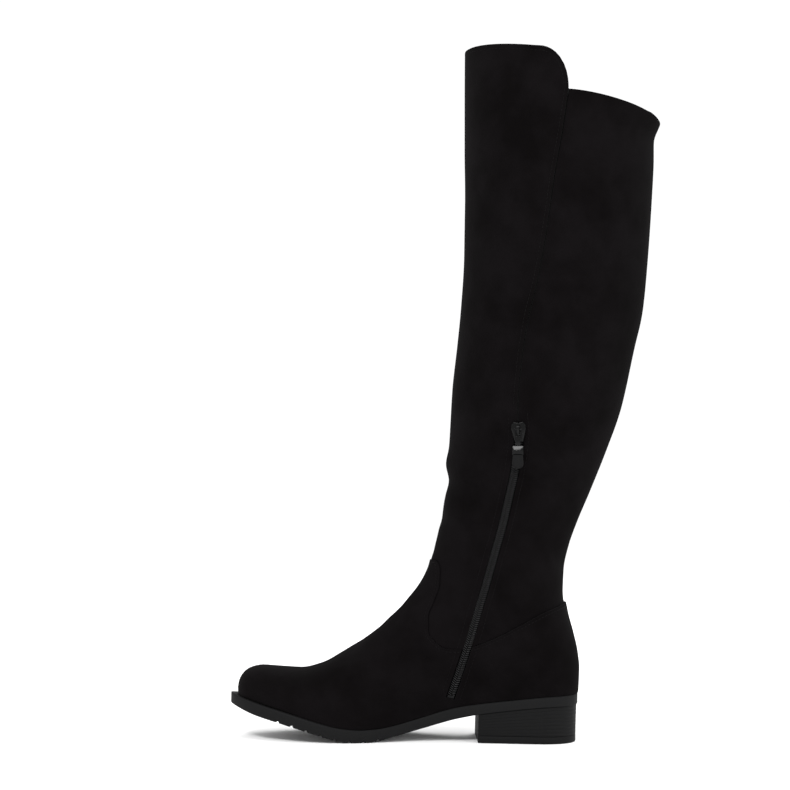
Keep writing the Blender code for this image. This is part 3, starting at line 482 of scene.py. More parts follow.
def side_view(points):
    """Places given as shares of the shaft, in metres of the side view."""
    forward, up = np.array(points).T
    return HEEL_BACK - forward * TOP_DEPTH, HEEL_SEAT + up * SHAFT_HEIGHT


@functools.lru_cache(maxsize=None)
def crease_lines():
    """The creases as lines on the surface, with their depth and width in metres."""
    made = []
    for side, depth, width, points in CREASES:
        x, z = side_view(points)
        made.append((plain_surface(x, z, side), depth / 1000, width / 1000))
    return made


def crease_lift(points):
    """How far the creases move points of the surface outwards."""
    lift = np.zeros(points.shape[:-1])
    for line, depth, width in crease_lines():
        nearest = np.full(lift.shape, FAR)
        for a, b in zip(line, line[1:]):
            along = b - a
            share = np.clip((points - a) @ along / (along @ along), 0.0, 1.0)
            gap = np.linalg.norm(points - a - share[..., None] * along, axis=-1)
            nearest = np.minimum(nearest, gap)
        lift += depth * np.exp(-((nearest / width) ** 2))
    return lift


def section_normal(k, t, side):
    """Outward normals of the plain surface, true also at its front and back lines."""
    above, below = np.minimum(t + T_STEP, 1.0), np.maximum(t - T_STEP, 0.0)
    up = on_section(k, above, side) - on_section(k, below, side)
    along = on_section(k + K_STEP, t, side) - on_section(k - K_STEP, t, side)
    normal = unit(np.cross(along, up))
    out = np.sum(normal * (on_section(k, t, side) - centres_of(k)), axis=-1, keepdims=True)
    return normal * np.sign(out)


def skin(x, z, side, lift=0.0):
    """Points of the creased surface, lifted off it, with their outward normals."""
    k, t = locate(x, z)
    points, normals = on_section(k, t, side), section_normal(k, t, side)
    rise = crease_lift(points) + lift
    return points + normals * rise[..., None], normals


def line_x(line, z):
    """Where a seam line is at a height, in the side view."""
    return HEEL_BACK - smooth(line, 1, (z - HEEL_SEAT) / SHAFT_HEIGHT) * TOP_DEPTH


def seam_place(k, line):
    """How far up the sections k the seam line crosses them."""
    bx, bz, fx, fz = section_ends(k)
    low, high = np.full(k.shape, 0.02), np.full(k.shape, 0.98)
    for _ in range(HALVINGS):
        t = (low + high) / 2
        ahead = bx + t * (fx - bx) > line_x(line, bz + t * (fz - bz))
        low, high = np.where(ahead, t, low), np.where(ahead, high, t)
    return t


def lengths_along(points):
    """Length along a polyline to each of its points."""
    return np.concatenate([[0.0], np.cumsum(np.linalg.norm(np.diff(points, axis=0), axis=1))])


def smooth_path(points, count):
    """Points evenly spread on a smooth curve through a list of side-view points."""
    points = np.array(points, float)
    lengths = lengths_along(points)
    rows = tuple((float(s), float(x), float(z)) for s, (x, z) in zip(lengths, points))
    at = np.linspace(0.0, lengths[-1], count)
    return np.stack([smooth(rows, 1, at), smooth(rows, 2, at)], axis=1)


def shifted(path, distance):
    """A side-view path moved sideways, to its left as it runs."""
    path = np.array(path, float)
    run = unit(np.gradient(path, axis=0))
    return path + np.stack([-run[:, 1], run[:, 0]], axis=1) * np.reshape(distance, (-1, 1))


def vamp_line(count=90):
    """The line between foot part and shaft, from the front to the back, beyond both."""
    points = [
        (HEEL_BACK - s * FOOT_LENGTH, HEEL_SEAT + h * INSTEP_HEIGHT) for s, h in VAMP_LINE
    ]
    return smooth_path(points, count)


def collar_line(line):
    """The collar in the side view: the high front panel, its round corner and the back panel."""
    top = HEEL_SEAT + SHAFT_HEIGHT
    front = HEEL_BACK - SHAFT_ROWS[-1][2] * TOP_DEPTH
    back = HEEL_BACK - SHAFT_ROWS[-1][0] * TOP_DEPTH
    notch = top - COLLAR_FALL - NOTCH_DROP
    seam = float(line_x(line, notch))
    start = seam - NOTCH_RUN
    u = np.linspace(0.0, 1.0, COLLAR_STEPS)
    turn = math.pi / 2 * u[1:]
    front_run = np.stack([front + (start - front) * u, top - COLLAR_FALL * u**COLLAR_POWER], axis=1)
    corner = np.stack([
        start + NOTCH_RUN * np.sin(turn) ** CORNER_POWER,
        notch + NOTCH_DROP * np.clip(np.cos(turn), 0.0, 1.0) ** CORNER_POWER,
    ], axis=1)
    u = u[1:]
    back_run = np.stack([seam + (back - seam) * u, notch - BACK_FALL * u**BACK_POWER], axis=1)
    ends = ([(-FAR, top)], [(FAR, notch - BACK_FALL)])
    return np.concatenate([ends[0], front_run, corner, back_run, ends[1]]), seam, notch


def inside(ring, x, z):
    """Which points of the side view lie inside a closed outline."""
    found = np.zeros(np.shape(x), bool)
    for (x0, z0), (x1, z1) in zip(ring, np.roll(ring, -1, axis=0)):
        if z0 == z1:
            continue
        spans = (z0 > z) != (z1 > z)
        found ^= spans & (x < x0 + (z - z0) * (x1 - x0) / (z1 - z0))
    return found


def region_above(path):
    """The closed outline of everything above a path that runs towards the heel."""
    return np.concatenate([path, [(FAR, TOP), (-FAR, TOP)]])


def boundary(region, place_of, side, low, high):
    """Where the columns of a patch enter a region that lies above, as station places."""
    for _ in range(22):
        k = (low + high) / 2
        points = on_section(k, place_of(k), side)
        entered = inside(region, points[..., 0], points[..., 2])
        low, high = np.where(entered, low, k), np.where(entered, k, high)
    return (low + high) / 2


def shade(mesh, angle):
    """Smooth shading that keeps edges sharper than an angle."""
    mesh.shade_smooth()
    mesh.set_sharp_from_angle(angle=math.radians(angle))


def piece_of(name, mesh, finishes, angle):
    """A mesh as an object of the scene, with its finishes and smooth shading."""
    for finish in finishes:
        mesh.materials.append(finish)
    shade(mesh, angle)
    made = bpy.data.objects.new(name, mesh)
    bpy.context.scene.collection.objects.link(made)
    return made


def sheet(name, points, faces, finishes):
    """A closed sheet from groups of faces, of which the second has the second finish."""
    mesh = bpy.data.meshes.new(name)
    kinds = np.concatenate([np.full(len(group), i == 1) for i, group in enumerate(faces)])
    mesh.from_pydata(np.reshape(points, (-1, 3)).tolist(), [], np.concatenate(faces).tolist())
    for finish in finishes:
        mesh.materials.append(finish)
    mesh.polygons.foreach_set("material_index", kinds.astype(np.int32))
    mesh.validate()
    tidy = bmesh.new()
    tidy.from_mesh(mesh)
    bmesh.ops.remove_doubles(tidy, verts=tidy.verts, dist=1e-6)
    bmesh.ops.recalc_face_normals(tidy, faces=tidy.faces)
    tidy.to_mesh(mesh)
    tidy.free()
    return piece_of(name, mesh, (), SMOOTH_ANGLE)


def quads_of(at):
    """The quads of a grid of point numbers."""
    return np.stack([at[:-1, :-1], at[:-1, 1:], at[1:, 1:], at[1:, :-1]], axis=-1).reshape(-1, 4)


def wall(name, outer, within, finishes):
    """A closed sheet between two equal grids: suede outside and at its edges, lining within."""
    count = outer.shape[0] * outer.shape[1]
    at = np.arange(count).reshape(outer.shape[:2])
    quads = quads_of(at)
    rim = np.concatenate([at[0, :-1], at[:-1, -1], at[-1, :0:-1], at[:0:-1, 0]])
    after = np.roll(rim, -1)
    edge = np.stack([rim, rim + count, after + count, after], axis=-1)
    return sheet(name, [outer, within], [quads, (quads + count)[:, ::-1], edge], finishes)


def run_length(points, axis):
    """Length along a grid from its first row or column to each point."""
    steps = np.linalg.norm(np.diff(points, axis=axis), axis=-1)
    shape = list(points.shape[:2])
    shape[axis] = 1
    return np.concatenate([np.zeros(shape), np.cumsum(steps, axis=axis)], axis=axis)


def normals_of(points, centres):
    """Outward normals of a grid of surface points."""
    cross = np.cross(np.gradient(points, axis=1), np.gradient(points, axis=0))
    cross /= np.maximum(np.linalg.norm(cross, axis=-1, keepdims=True), 1e-12)
    return cross * np.sign(np.sum(cross * (points - centres)))


def near_edge(distance):
    """How far a folded edge drops away, at a distance from it."""
    inwards = 1 - np.clip(distance / FOLD_ROUND, 0.0, 1.0)
    return FOLD_ROUND * (1 - np.sqrt(np.maximum(0.0, 1 - inwards**2)))


def spaced(length, step, ends=COLUMN_ENDS):
    """Distances from 0 to a length, close together at both ends."""
    ends = np.array(ends)
    middle = np.linspace(ends[-1], length - ends[-1], max(3, round(length / step)))
    return np.concatenate([ends[:-1], middle, (length - ends[:-1])[::-1]])


def placed_rows(place_of, side, low, high, shares):
    """Station places that split every column of a patch at those shares of its length."""
    steps = np.linspace(0.0, 1.0, 200)[:, None]
    k = low + (high - low) * steps
    length = run_length(on_section(k, place_of(k), side), 0)
    found = np.empty((len(shares), k.shape[1]))
    for c in range(k.shape[1]):
        found[:, c] = np.interp(np.asarray(shares) * length[-1, c], length[:, c], k[:, c])
    return found


def zip_end(side):
    """Height of a zip's lower end."""
    return HEEL_SEAT + ZIP_LOW[side]


def slot_half(z, top, width):
    """Half the opening between the panels: the zip's slot, closing above its slider."""
    shut = np.clip((z - top + SLOT_SHUT) / SLOT_CLOSES + 1, 0.0, 1.0)
    shut = shut * shut * (3 - 2 * shut)
    return (width / 2 + SLOT_PLAY) * (1 - shut) + GAP / 2 * shut


ZIPS = {
    MEDIAL: (MEDIAL_LINE, HEEL_SEAT + COIL_TOP * SHAFT_HEIGHT, COIL_WIDTH),
    LATERAL: (LATERAL_LINE, HEEL_SEAT + METAL_TOP * SHAFT_HEIGHT, METAL_WIDTH),
}
ZIP_LOW = {MEDIAL: COIL_LOW, LATERAL: METAL_LOW}
LOWEST_PANEL = 13.0
HIGHEST_FOOT = 29.0
BELOW_COLLAR = 33.0


@functools.lru_cache(maxsize=None)
def panel_edge(side, towards_front):
    """Station places, and how far up each of them a panel's edge runs beside its seam or zip."""
    line, top, width = ZIPS[side]
    k = np.linspace(LOWEST_PANEL, LAST, 1500)
    t = seam_place(k, line)
    z = on_section(k, t, side)[..., 2]
    step = 0.002
    rate = np.linalg.norm(on_section(k, t + step, side) - on_section(k, t - step, side), axis=-1)
    move = slot_half(z, top, width) / rate * 2 * step
    return k, np.clip(t + (move if towards_front else -move), 0.004, 0.996)


def panel_places(side, share, towards_front):
    """Place up a section of a panel's columns, from its seam (0) to the front or back (1)."""
    ks, edges = panel_edge(side, towards_front)

    def place_of(k):
        a = np.arccos(1 - 2 * np.interp(k, ks, edges)) / math.pi
        a = a + (1 - a) * share if towards_front else a * (1 - share)
        return (1 - np.cos(math.pi * a)) / 2

    return place_of


def half_panel(side, towards_front, shares):
    """Grid of one side's half of a panel: plain points and centres, from vamp line to collar."""
    place_of = panel_places(side, shares, towards_front)
    ones = np.ones(len(shares))
    collar = region_above(collar_line(ZIPS[side][0])[0])
    low = LOWEST_PANEL * ones
    high = boundary(collar, place_of, side, BELOW_COLLAR * ones, float(LAST) * ones)
    k = placed_rows(place_of, side, low, high, spaced(1.0, ROW_STEP, ROW_ENDS))
    return on_section(k, place_of(k), side), centres_of(k)


def flare(points):
    """How far the back of the collar turns outwards."""
    reach, depth = FLARE
    top = HEEL_SEAT + SHAFT_HEIGHT - COLLAR_FALL - NOTCH_DROP - BACK_FALL
    near_top = np.clip(1 - (top - points[..., 2]) / depth, 0.0, 1.3)
    behind = np.clip((points[..., 0] - 0.5 * HEEL_BACK) / TOP_DEPTH * 3, 0.0, 1.0)
    return reach * near_top**2 * behind


def panel(name, towards_front, step, suede, lining):
    """One panel of the shaft, folded at its edges, from seam to seam."""
    span = FRONT_SPAN if towards_front else BACK_SPAN
    shares = spaced(span, COLUMN_STEP) / span
    shares = np.concatenate([shares[:-4], [1.0]])
    halves = [half_panel(side, towards_front, shares) for side in (MEDIAL, LATERAL)]
    points, centres = (
        np.concatenate([halves[0][i], halves[1][i][:, -2::-1]], axis=1) for i in (0, 1)
    )
    plain = normals_of(points, centres)
    lift = crease_lift(points) + (0.0 if towards_front else flare(points))
    points = points + plain * lift[..., None]
    normals = normals_of(points, centres)
    across, up = run_length(points, 1), run_length(points, 0)
    sides = np.minimum(across, across[:, -1:] - across)
    edge = np.minimum(sides, up[-1:] - up)
    outer = points + normals * (-step - near_edge(edge))[..., None]
    piece = wall(name, outer, points - normals * WALL, (suede, lining))
    return combine(piece, vamp_cutter(True), "INTERSECT", "MANIFOLD")


def foot_places(shares):
    """Place up a section of the foot part's columns, spread evenly round it."""

    def place_of(k):
        half = smooth(STATIONS, 5, k)
        bottom = outline((HEEL_BACK - smooth(STATIONS, 1, k)) / FOOT_LENGTH, BALL_WIDTH)[0]
        ratio = np.minimum(1.0, bottom / np.maximum(half, bottom) * 1.1)
        ratio = np.where(k < FIRST_CLOSED, ratio, 0.0)
        closed, opened = (1 - np.cos(math.pi * shares)) / 2, np.sin(math.pi * shares / 2)
        return closed * (1 - ratio) + opened * ratio

    return place_of


def foot_part(suede, lining):
    """The vamp and counter as one sewn form, from the sole up to the vamp line."""
    shares = np.linspace(0.0, 1.0, FOOT_COLUMNS)
    fine = np.linspace(0.0, HIGHEST_FOOT, 1600)
    runs = [run_length(on_section(fine[:, None], t, MEDIAL), 0)[:, 0] for t in (0.0, 0.5, 1.0)]
    length = np.cumsum(np.max([np.diff(run, prepend=0.0) for run in runs], axis=0))
    rows = np.interp(np.linspace(0.0, length[-1], FOOT_ROWS_FINE), length, fine)
    k = np.repeat(rows[:, None], FOOT_COLUMNS, axis=1)
    t = foot_places(shares)(k)
    halves = [on_section(k, t, side) for side in (MEDIAL, LATERAL)]
    points = np.concatenate([halves[0], halves[1][:, -2::-1]], axis=1)
    k = np.concatenate([k, k[:, -2::-1]], axis=1)
    centres = centres_of(k)
    plain = normals_of(points, centres)
    points = points + plain * crease_lift(points)[..., None] * (points[..., 2:] > CREASE_FLOOR)
    normals = normals_of(points, centres)
    shut = k[:, 0] >= FIRST_CLOSED
    normals[shut, 0] = normals[shut, -1] = unit(normals[shut, 0] + normals[shut, -1])
    flat = unit(normals * (1, 1, 0))
    on_sole = np.zeros(k.shape, bool)
    on_sole[0] = on_sole[:, 0] = on_sole[:, -1] = True
    on_sole &= k < FIRST_CLOSED
    normals = np.where(on_sole[..., None], flat, normals)
    outer, lined = points + normals * VAMP_PROUD, points - normals * WALL
    for grid in (outer, lined):
        grid[on_sole, 2] = seat(grid[on_sole, 0]) + GAP
    piece = tube_wall("foot_part", outer, lined, shut, (suede, lining))
    combine(piece, vamp_cutter(False), "INTERSECT", "MANIFOLD")
    for side in (MEDIAL, LATERAL):
        combine(piece, slot_cutter(side), "DIFFERENCE", "MANIFOLD")
    return piece


def tube_wall(name, outer, within, shut, finishes):
    """A closed sheet between two equal grids whose first and last columns meet in the shut rows."""
    count = outer.shape[0] * outer.shape[1]
    at = np.arange(count).reshape(outer.shape[:2])
    at[shut, -1] = at[shut, 0]
    quads = quads_of(at)
    faces = [quads, (quads + count)[:, ::-1]]
    first = int(np.argmax(shut))
    runs = [at[0, ::-1], at[-1], at[: first + 1, 0], at[first::-1, -1]]
    for run in runs:
        a, b = run[:-1], run[1:]
        faces.append(np.stack([a, b, b + count, a + count], axis=-1))
    return sheet(name, [outer, within], faces, finishes)


def prism(name, ring, depths):
    """A side-view outline as a solid across the boot."""
    return loft(name, [[Vector((x, y, z)) for x, z in ring] for y in depths], ())


def vamp_cutter(above):
    """The space above or below the vamp line."""
    path = shifted(vamp_line(), GAP / 2 if above else -GAP / 2)
    far = TOP if above else -TOP
    ring = [(-FAR, path[0][1]), *path, (FAR, path[-1][1]), (FAR, far), (-FAR, far)]
    return prism("vamp_cutter", ring, (-FAR, FAR))


def slot_cutter(side):
    """The opening through the foot part that a zip closes."""
    _, top, width = ZIPS[side]
    path = seam_path(side, zip_end(side) - SLOT_PLAY, min(top, HEEL_SEAT + INSTEP_HEIGHT), 0.0, 40)
    half = width / 2 + SLOT_PLAY
    ring = np.concatenate([shifted(path, half), shifted(path, -half)[::-1]])
    return prism("slot_cutter", ring, (-FAR, SLOT_REACH) if side < 0 else (-SLOT_REACH, FAR))


def on_boot(path):
    """The part of a side-view path that lies on the boot."""
    t = locate(path[:, 0], path[:, 1])[1]
    return path[(t > 0.001) & (t < 0.999)]


def vamp_fold(suede):
    """The rounded fold along the foot part's upper edge, on each side up to the zips."""
    path = on_boot(shifted(vamp_line(400), -GAP / 2 - FOLD_RADIUS))
    beads = []
    for side in (MEDIAL, LATERAL):
        line, _, width = ZIPS[side]
        points, normals = skin(path[:, 0], path[:, 1], side, VAMP_PROUD - FOLD_RADIUS * 0.75)
        for run in parts_beside(path, line, width / 2 + SLOT_PLAY + FOLD_RADIUS):
            beads.append(cord(points[run], normals[run], FOLD_RADIUS, suede))
    return join("vamp_fold", *beads)


def parts_beside(path, line, clear):
    """Index lists of a path's parts on either side of a zip."""
    off = np.abs(path[:, 0] - line_x(line, path[:, 1]))
    inner = np.where(off < clear)[0]
    return [np.arange(0, inner[0]), np.arange(inner[-1] + 1, len(path))]


def ribbon(points, normals, width, thick, finish):
    """A flat strip along points."""
    across = np.cross(unit(np.gradient(points, axis=0)), normals)
    wide, high = width / 2, thick / 2
    corners = ((-wide, -high), (wide, -high), (wide, high), (-wide, high))
    rings = [
        [place + u * way + n * out for u, n in corners]
        for place, out, way in zip(points, normals, across)
    ]
    return loft("ribbon", rings, (finish,))


def seam_tapes(lining):
    """The lining's tapes behind the vamp seam and the side seams, which close them from within."""
    depth = -(WALL + GAP + SEAM_TAPE_THICK / 2)
    tapes = []
    for side in (MEDIAL, LATERAL):
        line, top, _ = ZIPS[side]
        path = on_boot(vamp_line(160))
        points, normals = skin(path[:, 0], path[:, 1], side, depth)
        for run in parts_beside(path, line, TAPE_WIDTH / 2 - SEAM_TAPE / 2):
            tapes.append(ribbon(points[run], normals[run], SEAM_TAPE, SEAM_TAPE_THICK, lining))
        notch = collar_line(line)[2]
        path = seam_path(side, top - SLOT_SHUT + GAP, notch - HEM, 0.0, 90)
        points, normals = skin(path[:, 0], path[:, 1], side, depth)
        tapes.append(ribbon(points, normals, SEAM_TAPE, SEAM_TAPE_THICK, lining))
    return join("seam_tapes", *tapes)


def cord(points, normals, radius, finish):
    """A round cord along points."""
    across = np.cross(unit(np.gradient(points, axis=0)), normals)
    turns = [math.pi * i / 4 for i in range(8)]
    rings = [
        [place + radius * (math.cos(a) * out + math.sin(a) * way) for a in turns]
        for place, out, way in zip(points, normals, across)
    ]
    return loft("cord", rings, (finish,))


def apply_modifiers(piece):
    """Bakes a piece's modifiers into its mesh."""
    bpy.context.view_layer.update()
    seen = piece.evaluated_get(bpy.context.evaluated_depsgraph_get())
    piece.data = bpy.data.meshes.new_from_object(seen)
    piece.modifiers.clear()
    shade(piece.data, SMOOTH_ANGLE)


def ring_faces(rings, count):
    """The quads between rings of equally many points."""
    faces = []
    for r in range(rings - 1):
        for i in range(count):
            a, b = r * count + i, r * count + (i + 1) % count
            faces.append((a, b, b + count, a + count))
    return faces


def loft(name, rings, finishes):
    """A closed solid through rings of equally many points."""
    count = len(rings[0])
    faces = ring_faces(len(rings), count)
    faces.append(tuple(range(count))[::-1])
    faces.append(tuple((len(rings) - 1) * count + i for i in range(count)))
    bm = bmesh.new()
    verts = [bm.verts.new(p) for ring in rings for p in ring]
    for face in faces:
        bm.faces.new([verts[i] for i in face])
    bmesh.ops.recalc_face_normals(bm, faces=bm.faces)
    mesh = bpy.data.meshes.new(name)
    bm.to_mesh(mesh)
    bm.free()
    return piece_of(name, mesh, finishes, LOFT_ANGLE)


def bar(length, radius, sides):
    """Points and faces of a round-ended bar along X, for a stitch or a coil."""
    end = ((-0.5, 0.02), (-0.46, 0.55), (-0.36, 0.9))
    along = (*end, (0.0, 1.0), *[(-share, wide) for share, wide in end[::-1]])
    points = []
    for share, wide in along:
        for i in range(sides):
            turn = 2 * math.pi * i / sides
            r = wide * radius
            points.append((share * length, r * math.cos(turn), r * math.sin(turn)))
    return np.array(points), ring_faces(len(along), sides)


def block(long, wide, high, soft):
    """Points and faces of a box with softened edges, long along X."""
    bm = bmesh.new()
    bmesh.ops.create_cube(bm, size=1.0)
    for v in bm.verts:
        v.co = Vector((v.co.x * long, v.co.y * wide, v.co.z * high))
    bmesh.ops.bevel(bm, geom=bm.edges, offset=soft, segments=2, affect="EDGES", profile=0.5)
    bm.verts.index_update()
    points = np.array([tuple(v.co) for v in bm.verts])
    faces = [tuple(v.index for v in f.verts) for f in bm.faces]
    bm.free()
    return points, faces


def copies(name, shape, places, along, out, finish):
    """One mesh of a shape repeated, each copy with its X along one way and its Z pointing out."""
    points, faces = shape
    along = unit(along)
    across = unit(np.cross(out, along))
    out = np.cross(along, across)
    all_points = (
        places[:, None]
        + points[None, :, :1] * along[:, None]
        + points[None, :, 1:2] * across[:, None]
        + points[None, :, 2:] * out[:, None]
    ).reshape(-1, 3)
    all_faces = [
        tuple(v + i * len(points) for v in face) for i in range(len(places)) for face in faces
    ]
    mesh = bpy.data.meshes.new(name)
    mesh.from_pydata(all_points.tolist(), [], all_faces)
    return piece_of(name, mesh, (finish,), COPY_ANGLE)


def evenly(points, others, pitch):
    """Points on a polyline a pitch apart, with other values carried along, and directions."""
    length = lengths_along(points)
    at = np.arange(pitch / 2, length[-1], pitch)
    return tuple(
        np.stack([np.interp(at, length, values[:, i]) for i in range(3)], axis=1)
        for values in (points, others, np.gradient(points, axis=0))
    )


def sew(name, paths, thread):
    """Rows of stitches along side-view paths, each given with its side and lift."""
    places, ways, outs = [], [], []
    for path, side, lift in paths:
        points, normals = skin(path[:, 0], path[:, 1], side, lift)
        place, out, run = evenly(points, normals, STITCH_PITCH)
        places.append(place)
        outs.append(out)
        ways.append(run)
    shape = bar(STITCH_LENGTH, STITCH_THICK / 2, 8)
    return copies(name, shape, *(np.concatenate(v) for v in (places, ways, outs)), thread)


def seam_path(side, low, high, distance, count=160):
    """A side-view path beside a seam or zip; a positive distance is towards the front."""
    z = np.linspace(low, high, count)
    return shifted(np.stack([line_x(ZIPS[side][0], z), z], axis=1), distance)


def keep(path, above=None, below=None):
    """The part of a path outside or inside a region."""
    mask = np.ones(len(path), bool)
    if above is not None:
        mask &= inside(above, path[:, 0], path[:, 1])
    if below is not None:
        mask &= ~inside(below, path[:, 0], path[:, 1])
    return path[mask]


def stitching(thread):
    """All the visible sewing: panel edges, zips, vamp line and collar hem."""
    vamp = region_above(vamp_line())
    panel_rows, zip_rows, hem_rows, vamp_rows = [], [], [], []
    for side in (MEDIAL, LATERAL):
        line, top, width = ZIPS[side]
        collar, seam, notch = collar_line(line)
        corner_top = notch + NOTCH_DROP * 0.2
        row_low = top + SLIDER_CLEAR
        if row_low < corner_top:
            panel_rows.append((seam_path(side, row_low, corner_top, PANEL_ROW), side, 0.0))
        for distance in (-ZIP_ROW, ZIP_ROW):
            row = seam_path(side, zip_end(side), top + ZIP_ROW_PAST, distance, 260)
            lift = 0.0 if distance > 0 else -PANEL_STEP
            zip_rows.append((keep(row, above=vamp), side, lift))
            zip_rows.append((keep(row, below=vamp), side, VAMP_PROUD))
        hem = shifted(collar, -HEM)
        x = hem[:, 0]
        front = hem[(x < seam - PANEL_ROW) & (x > HEM_FRONT)]
        back = hem[(x > seam + PANEL_ROW) & (x < HEM_BACK) & (hem[:, 1] < notch)]
        hem_rows += [(front, side, 0.0), (back, side, -PANEL_STEP)]
        row = on_boot(shifted(vamp_line(220), -VAMP_ROW))
        for part in parts_beside(row, line, width / 2 + PANEL_ROW / 2):
            vamp_rows.append((row[part], side, VAMP_PROUD))
    named = (("panel", panel_rows), ("zip", zip_rows), ("collar", hem_rows), ("vamp", vamp_rows))
    return [sew(f"{name}_stitches", rows, thread) for name, rows in named]


def zip_line(side, low, count):
    """A zip's centre on the surface: points and outward normals."""
    line, top, _ = ZIPS[side]
    z = np.linspace(HEEL_SEAT + low, top - SLOT_CLOSES - SLOT_SHUT, count)
    return skin(line_x(line, z), z, side)


def tape(name, side, low, width, finish):
    """The woven tape behind the wall, with the low bed that the chain runs on."""
    line, top, _ = ZIPS[side]
    z = np.linspace(HEEL_SEAT + low, top, 160)
    path = np.stack([line_x(line, z), z], axis=1)
    back, bed = -(WALL + TAPE_GAP), -TAPE_BED
    half = np.maximum(slot_half(z, top, width) - SLOT_PLAY, BED_LEAST)
    wide = TAPE_WIDTH / 2
    profile = (
        (-wide, back - TAPE), (wide, back - TAPE), (wide, back), (half, back),
        (half, bed), (-half, bed), (-half, back), (-wide, back),
    )
    grid = []
    for across, lift in profile:
        row = shifted(path, across)
        points = plain_surface(row[:, 0], row[:, 1], side)
        points[:, 1] += side * (lift + crease_lift(points))
        grid.append(points)
    grid = np.array(grid).transpose(1, 0, 2)
    return loft(name, [[Vector(p) for p in ring] for ring in grid], (finish,))


def chain_frames(side, low, pitch):
    """Evenly spaced places along a zip, with the ways out of it, along it and across it."""
    points, normals = zip_line(side, low, 400)
    place, out, run = evenly(points, normals, pitch)
    run, out = unit(run), unit(out)
    return place, out, run, np.cross(out, run)


def coil_chain(finish):
    """The nylon coil: two rows of slanted turns that meet in the middle."""
    place, out, run, across = chain_frames(MEDIAL, COIL_LOW, COIL_PITCH)
    places, ways, outs = [], [], []
    for hand in (-1, 1):
        offset = run * (COIL_PITCH / 4 * hand)
        places.append(place + across * (hand * COIL_ROW) - out * COIL_SINK + offset)
        ways.append(across + run * (COIL_SLANT * hand))
        outs.append(out)
    shape = bar(COIL_TURN, COIL_WIRE, 10)
    return copies(
        "inner_zip_coil", shape, *(np.concatenate(v) for v in (places, ways, outs)), finish
    )


def tooth_chain(finish):
    """The metal teeth, one from each side in turn."""
    place, out, _, across = chain_frames(LATERAL, METAL_LOW, TOOTH_PITCH)
    hand = np.where(np.arange(len(place)) % 2 == 0, 1.0, -1.0)[:, None]
    places = place + across * hand * TOOTH_ROW - out * TOOTH_SINK
    return copies("outer_zip_teeth", block(*TOOTH), places, across, out, finish)


def bottom_stop(name, side, low, wide, finish):
    """The small stop that ends a chain."""
    place, out, _, across = chain_frames(side, low, STOP_PLACE)
    shape = block(wide, *STOP)
    return copies(name, shape, place[:1] - out[:1] * STOP_SINK, across[:1], out[:1], finish)


def soften(piece, width, segments=3, angle=30):
    """Rounds the edges of a hard piece."""
    step = piece.modifiers.new("soft edges", "BEVEL")
    step.width = width
    step.segments = segments
    step.limit_method = "ANGLE"
    step.angle_limit = math.radians(angle)
    apply_modifiers(piece)
    return piece


def combine(piece, tool, operation, solver="EXACT"):
    """Joins or cuts a piece with another, which is used up."""
    step = piece.modifiers.new("combine", "BOOLEAN")
    step.operation = operation
    step.solver = solver
    step.object = tool
    apply_modifiers(piece)
    bpy.data.objects.remove(tool)
    return piece


def slider_frame(side):
    """A slider's place on the plain surface: level along it, straight out of it, and up it."""
    line, top, _ = ZIPS[side]
    z = top - SLIDER_STOP * SLIDER_LENGTH
    x = line_x(line, z)
    reach = 2 * WALL
    along = plain_surface(x + reach, z, side) - plain_surface(x - reach, z, side)
    up = plain_surface(x, z + reach, side) - plain_surface(x, z - reach, side)
    normal = Vector(np.cross(along, up)).normalized()
    normal *= math.copysign(1.0, normal.y * side)
    level = Vector((0, 0, 1)).cross(normal).normalized()
    upward = normal.cross(level).normalized()
    half = SLIDER_WIDTH / 2
    lean = math.atan2(line_x(line, z + half) - line_x(line, z - half), 2 * half) * side
    placed = Matrix((level, normal, upward)).transposed().to_4x4()
    placed.translation = Vector(plain_surface(x, z, side)) + normal * (CHAIN_PROUD + GAP)
    return placed, lean


def placed_loft(name, matrix, rings, finish):
    """A solid through rings given in a local frame."""
    return loft(name, [[matrix @ Vector(p) for p in ring] for ring in rings], (finish,))


def plate(name, matrix, shape, near, far, finish):
    """A flat plate of a shape given in a local frame, between two depths."""
    return placed_loft(name, matrix, [[(u, n, w) for u, w in shape] for n in (near, far)], finish)


def mirrored(right, middle=()):
    """An outline: its right side, what lies between, and its left side."""
    return [*right, *middle, *[(-u, w) for u, w in right[::-1]]]


def slider(name, side, finish):
    """A slider's shield-shaped body over the chain, with its bridge."""
    placed, lean = slider_frame(side)
    half = SLIDER_WIDTH / 2
    low, high = -SLIDER_TAIL * SLIDER_LENGTH, (1 - SLIDER_TAIL) * SLIDER_LENGTH
    right = (
        (0.55 * half, low),
        (0.74 * half, low * 0.55),
        (half, 0.1 * high),
        (0.96 * half, 0.62 * high),
        (0.62 * half, high),
        (0.18 * half, 0.86 * high),
    )
    turned = placed @ Matrix.Rotation(-lean, 4, "Y")
    body = plate(name, turned, mirrored(right), 0.0, SLIDER_PLATE, finish)
    soften(body, 0.0004)
    top = SLIDER_PLATE + PIN + 2 * EYE_PLAY
    foot, within, root = BRIDGE_REACH, BRIDGE_REACH - BRIDGE_BAR, SLIDER_PLATE * 0.4
    arch = (
        (foot, root), (foot, top + 0.4 * BRIDGE_BAR), (within, top + BRIDGE_BAR),
        (-within, top + BRIDGE_BAR), (-foot, top + 0.4 * BRIDGE_BAR), (-foot, root),
        (-within, root), (-within, top), (within, top), (within, root),
    )
    rings = [[(u, n, w) for w, n in arch] for u in (-BRIDGE_WIDTH / 2, BRIDGE_WIDTH / 2)]
    bridge = soften(placed_loft(f"{name}_bridge", placed, rings, finish), 0.00025)
    return join(name, body, bridge)


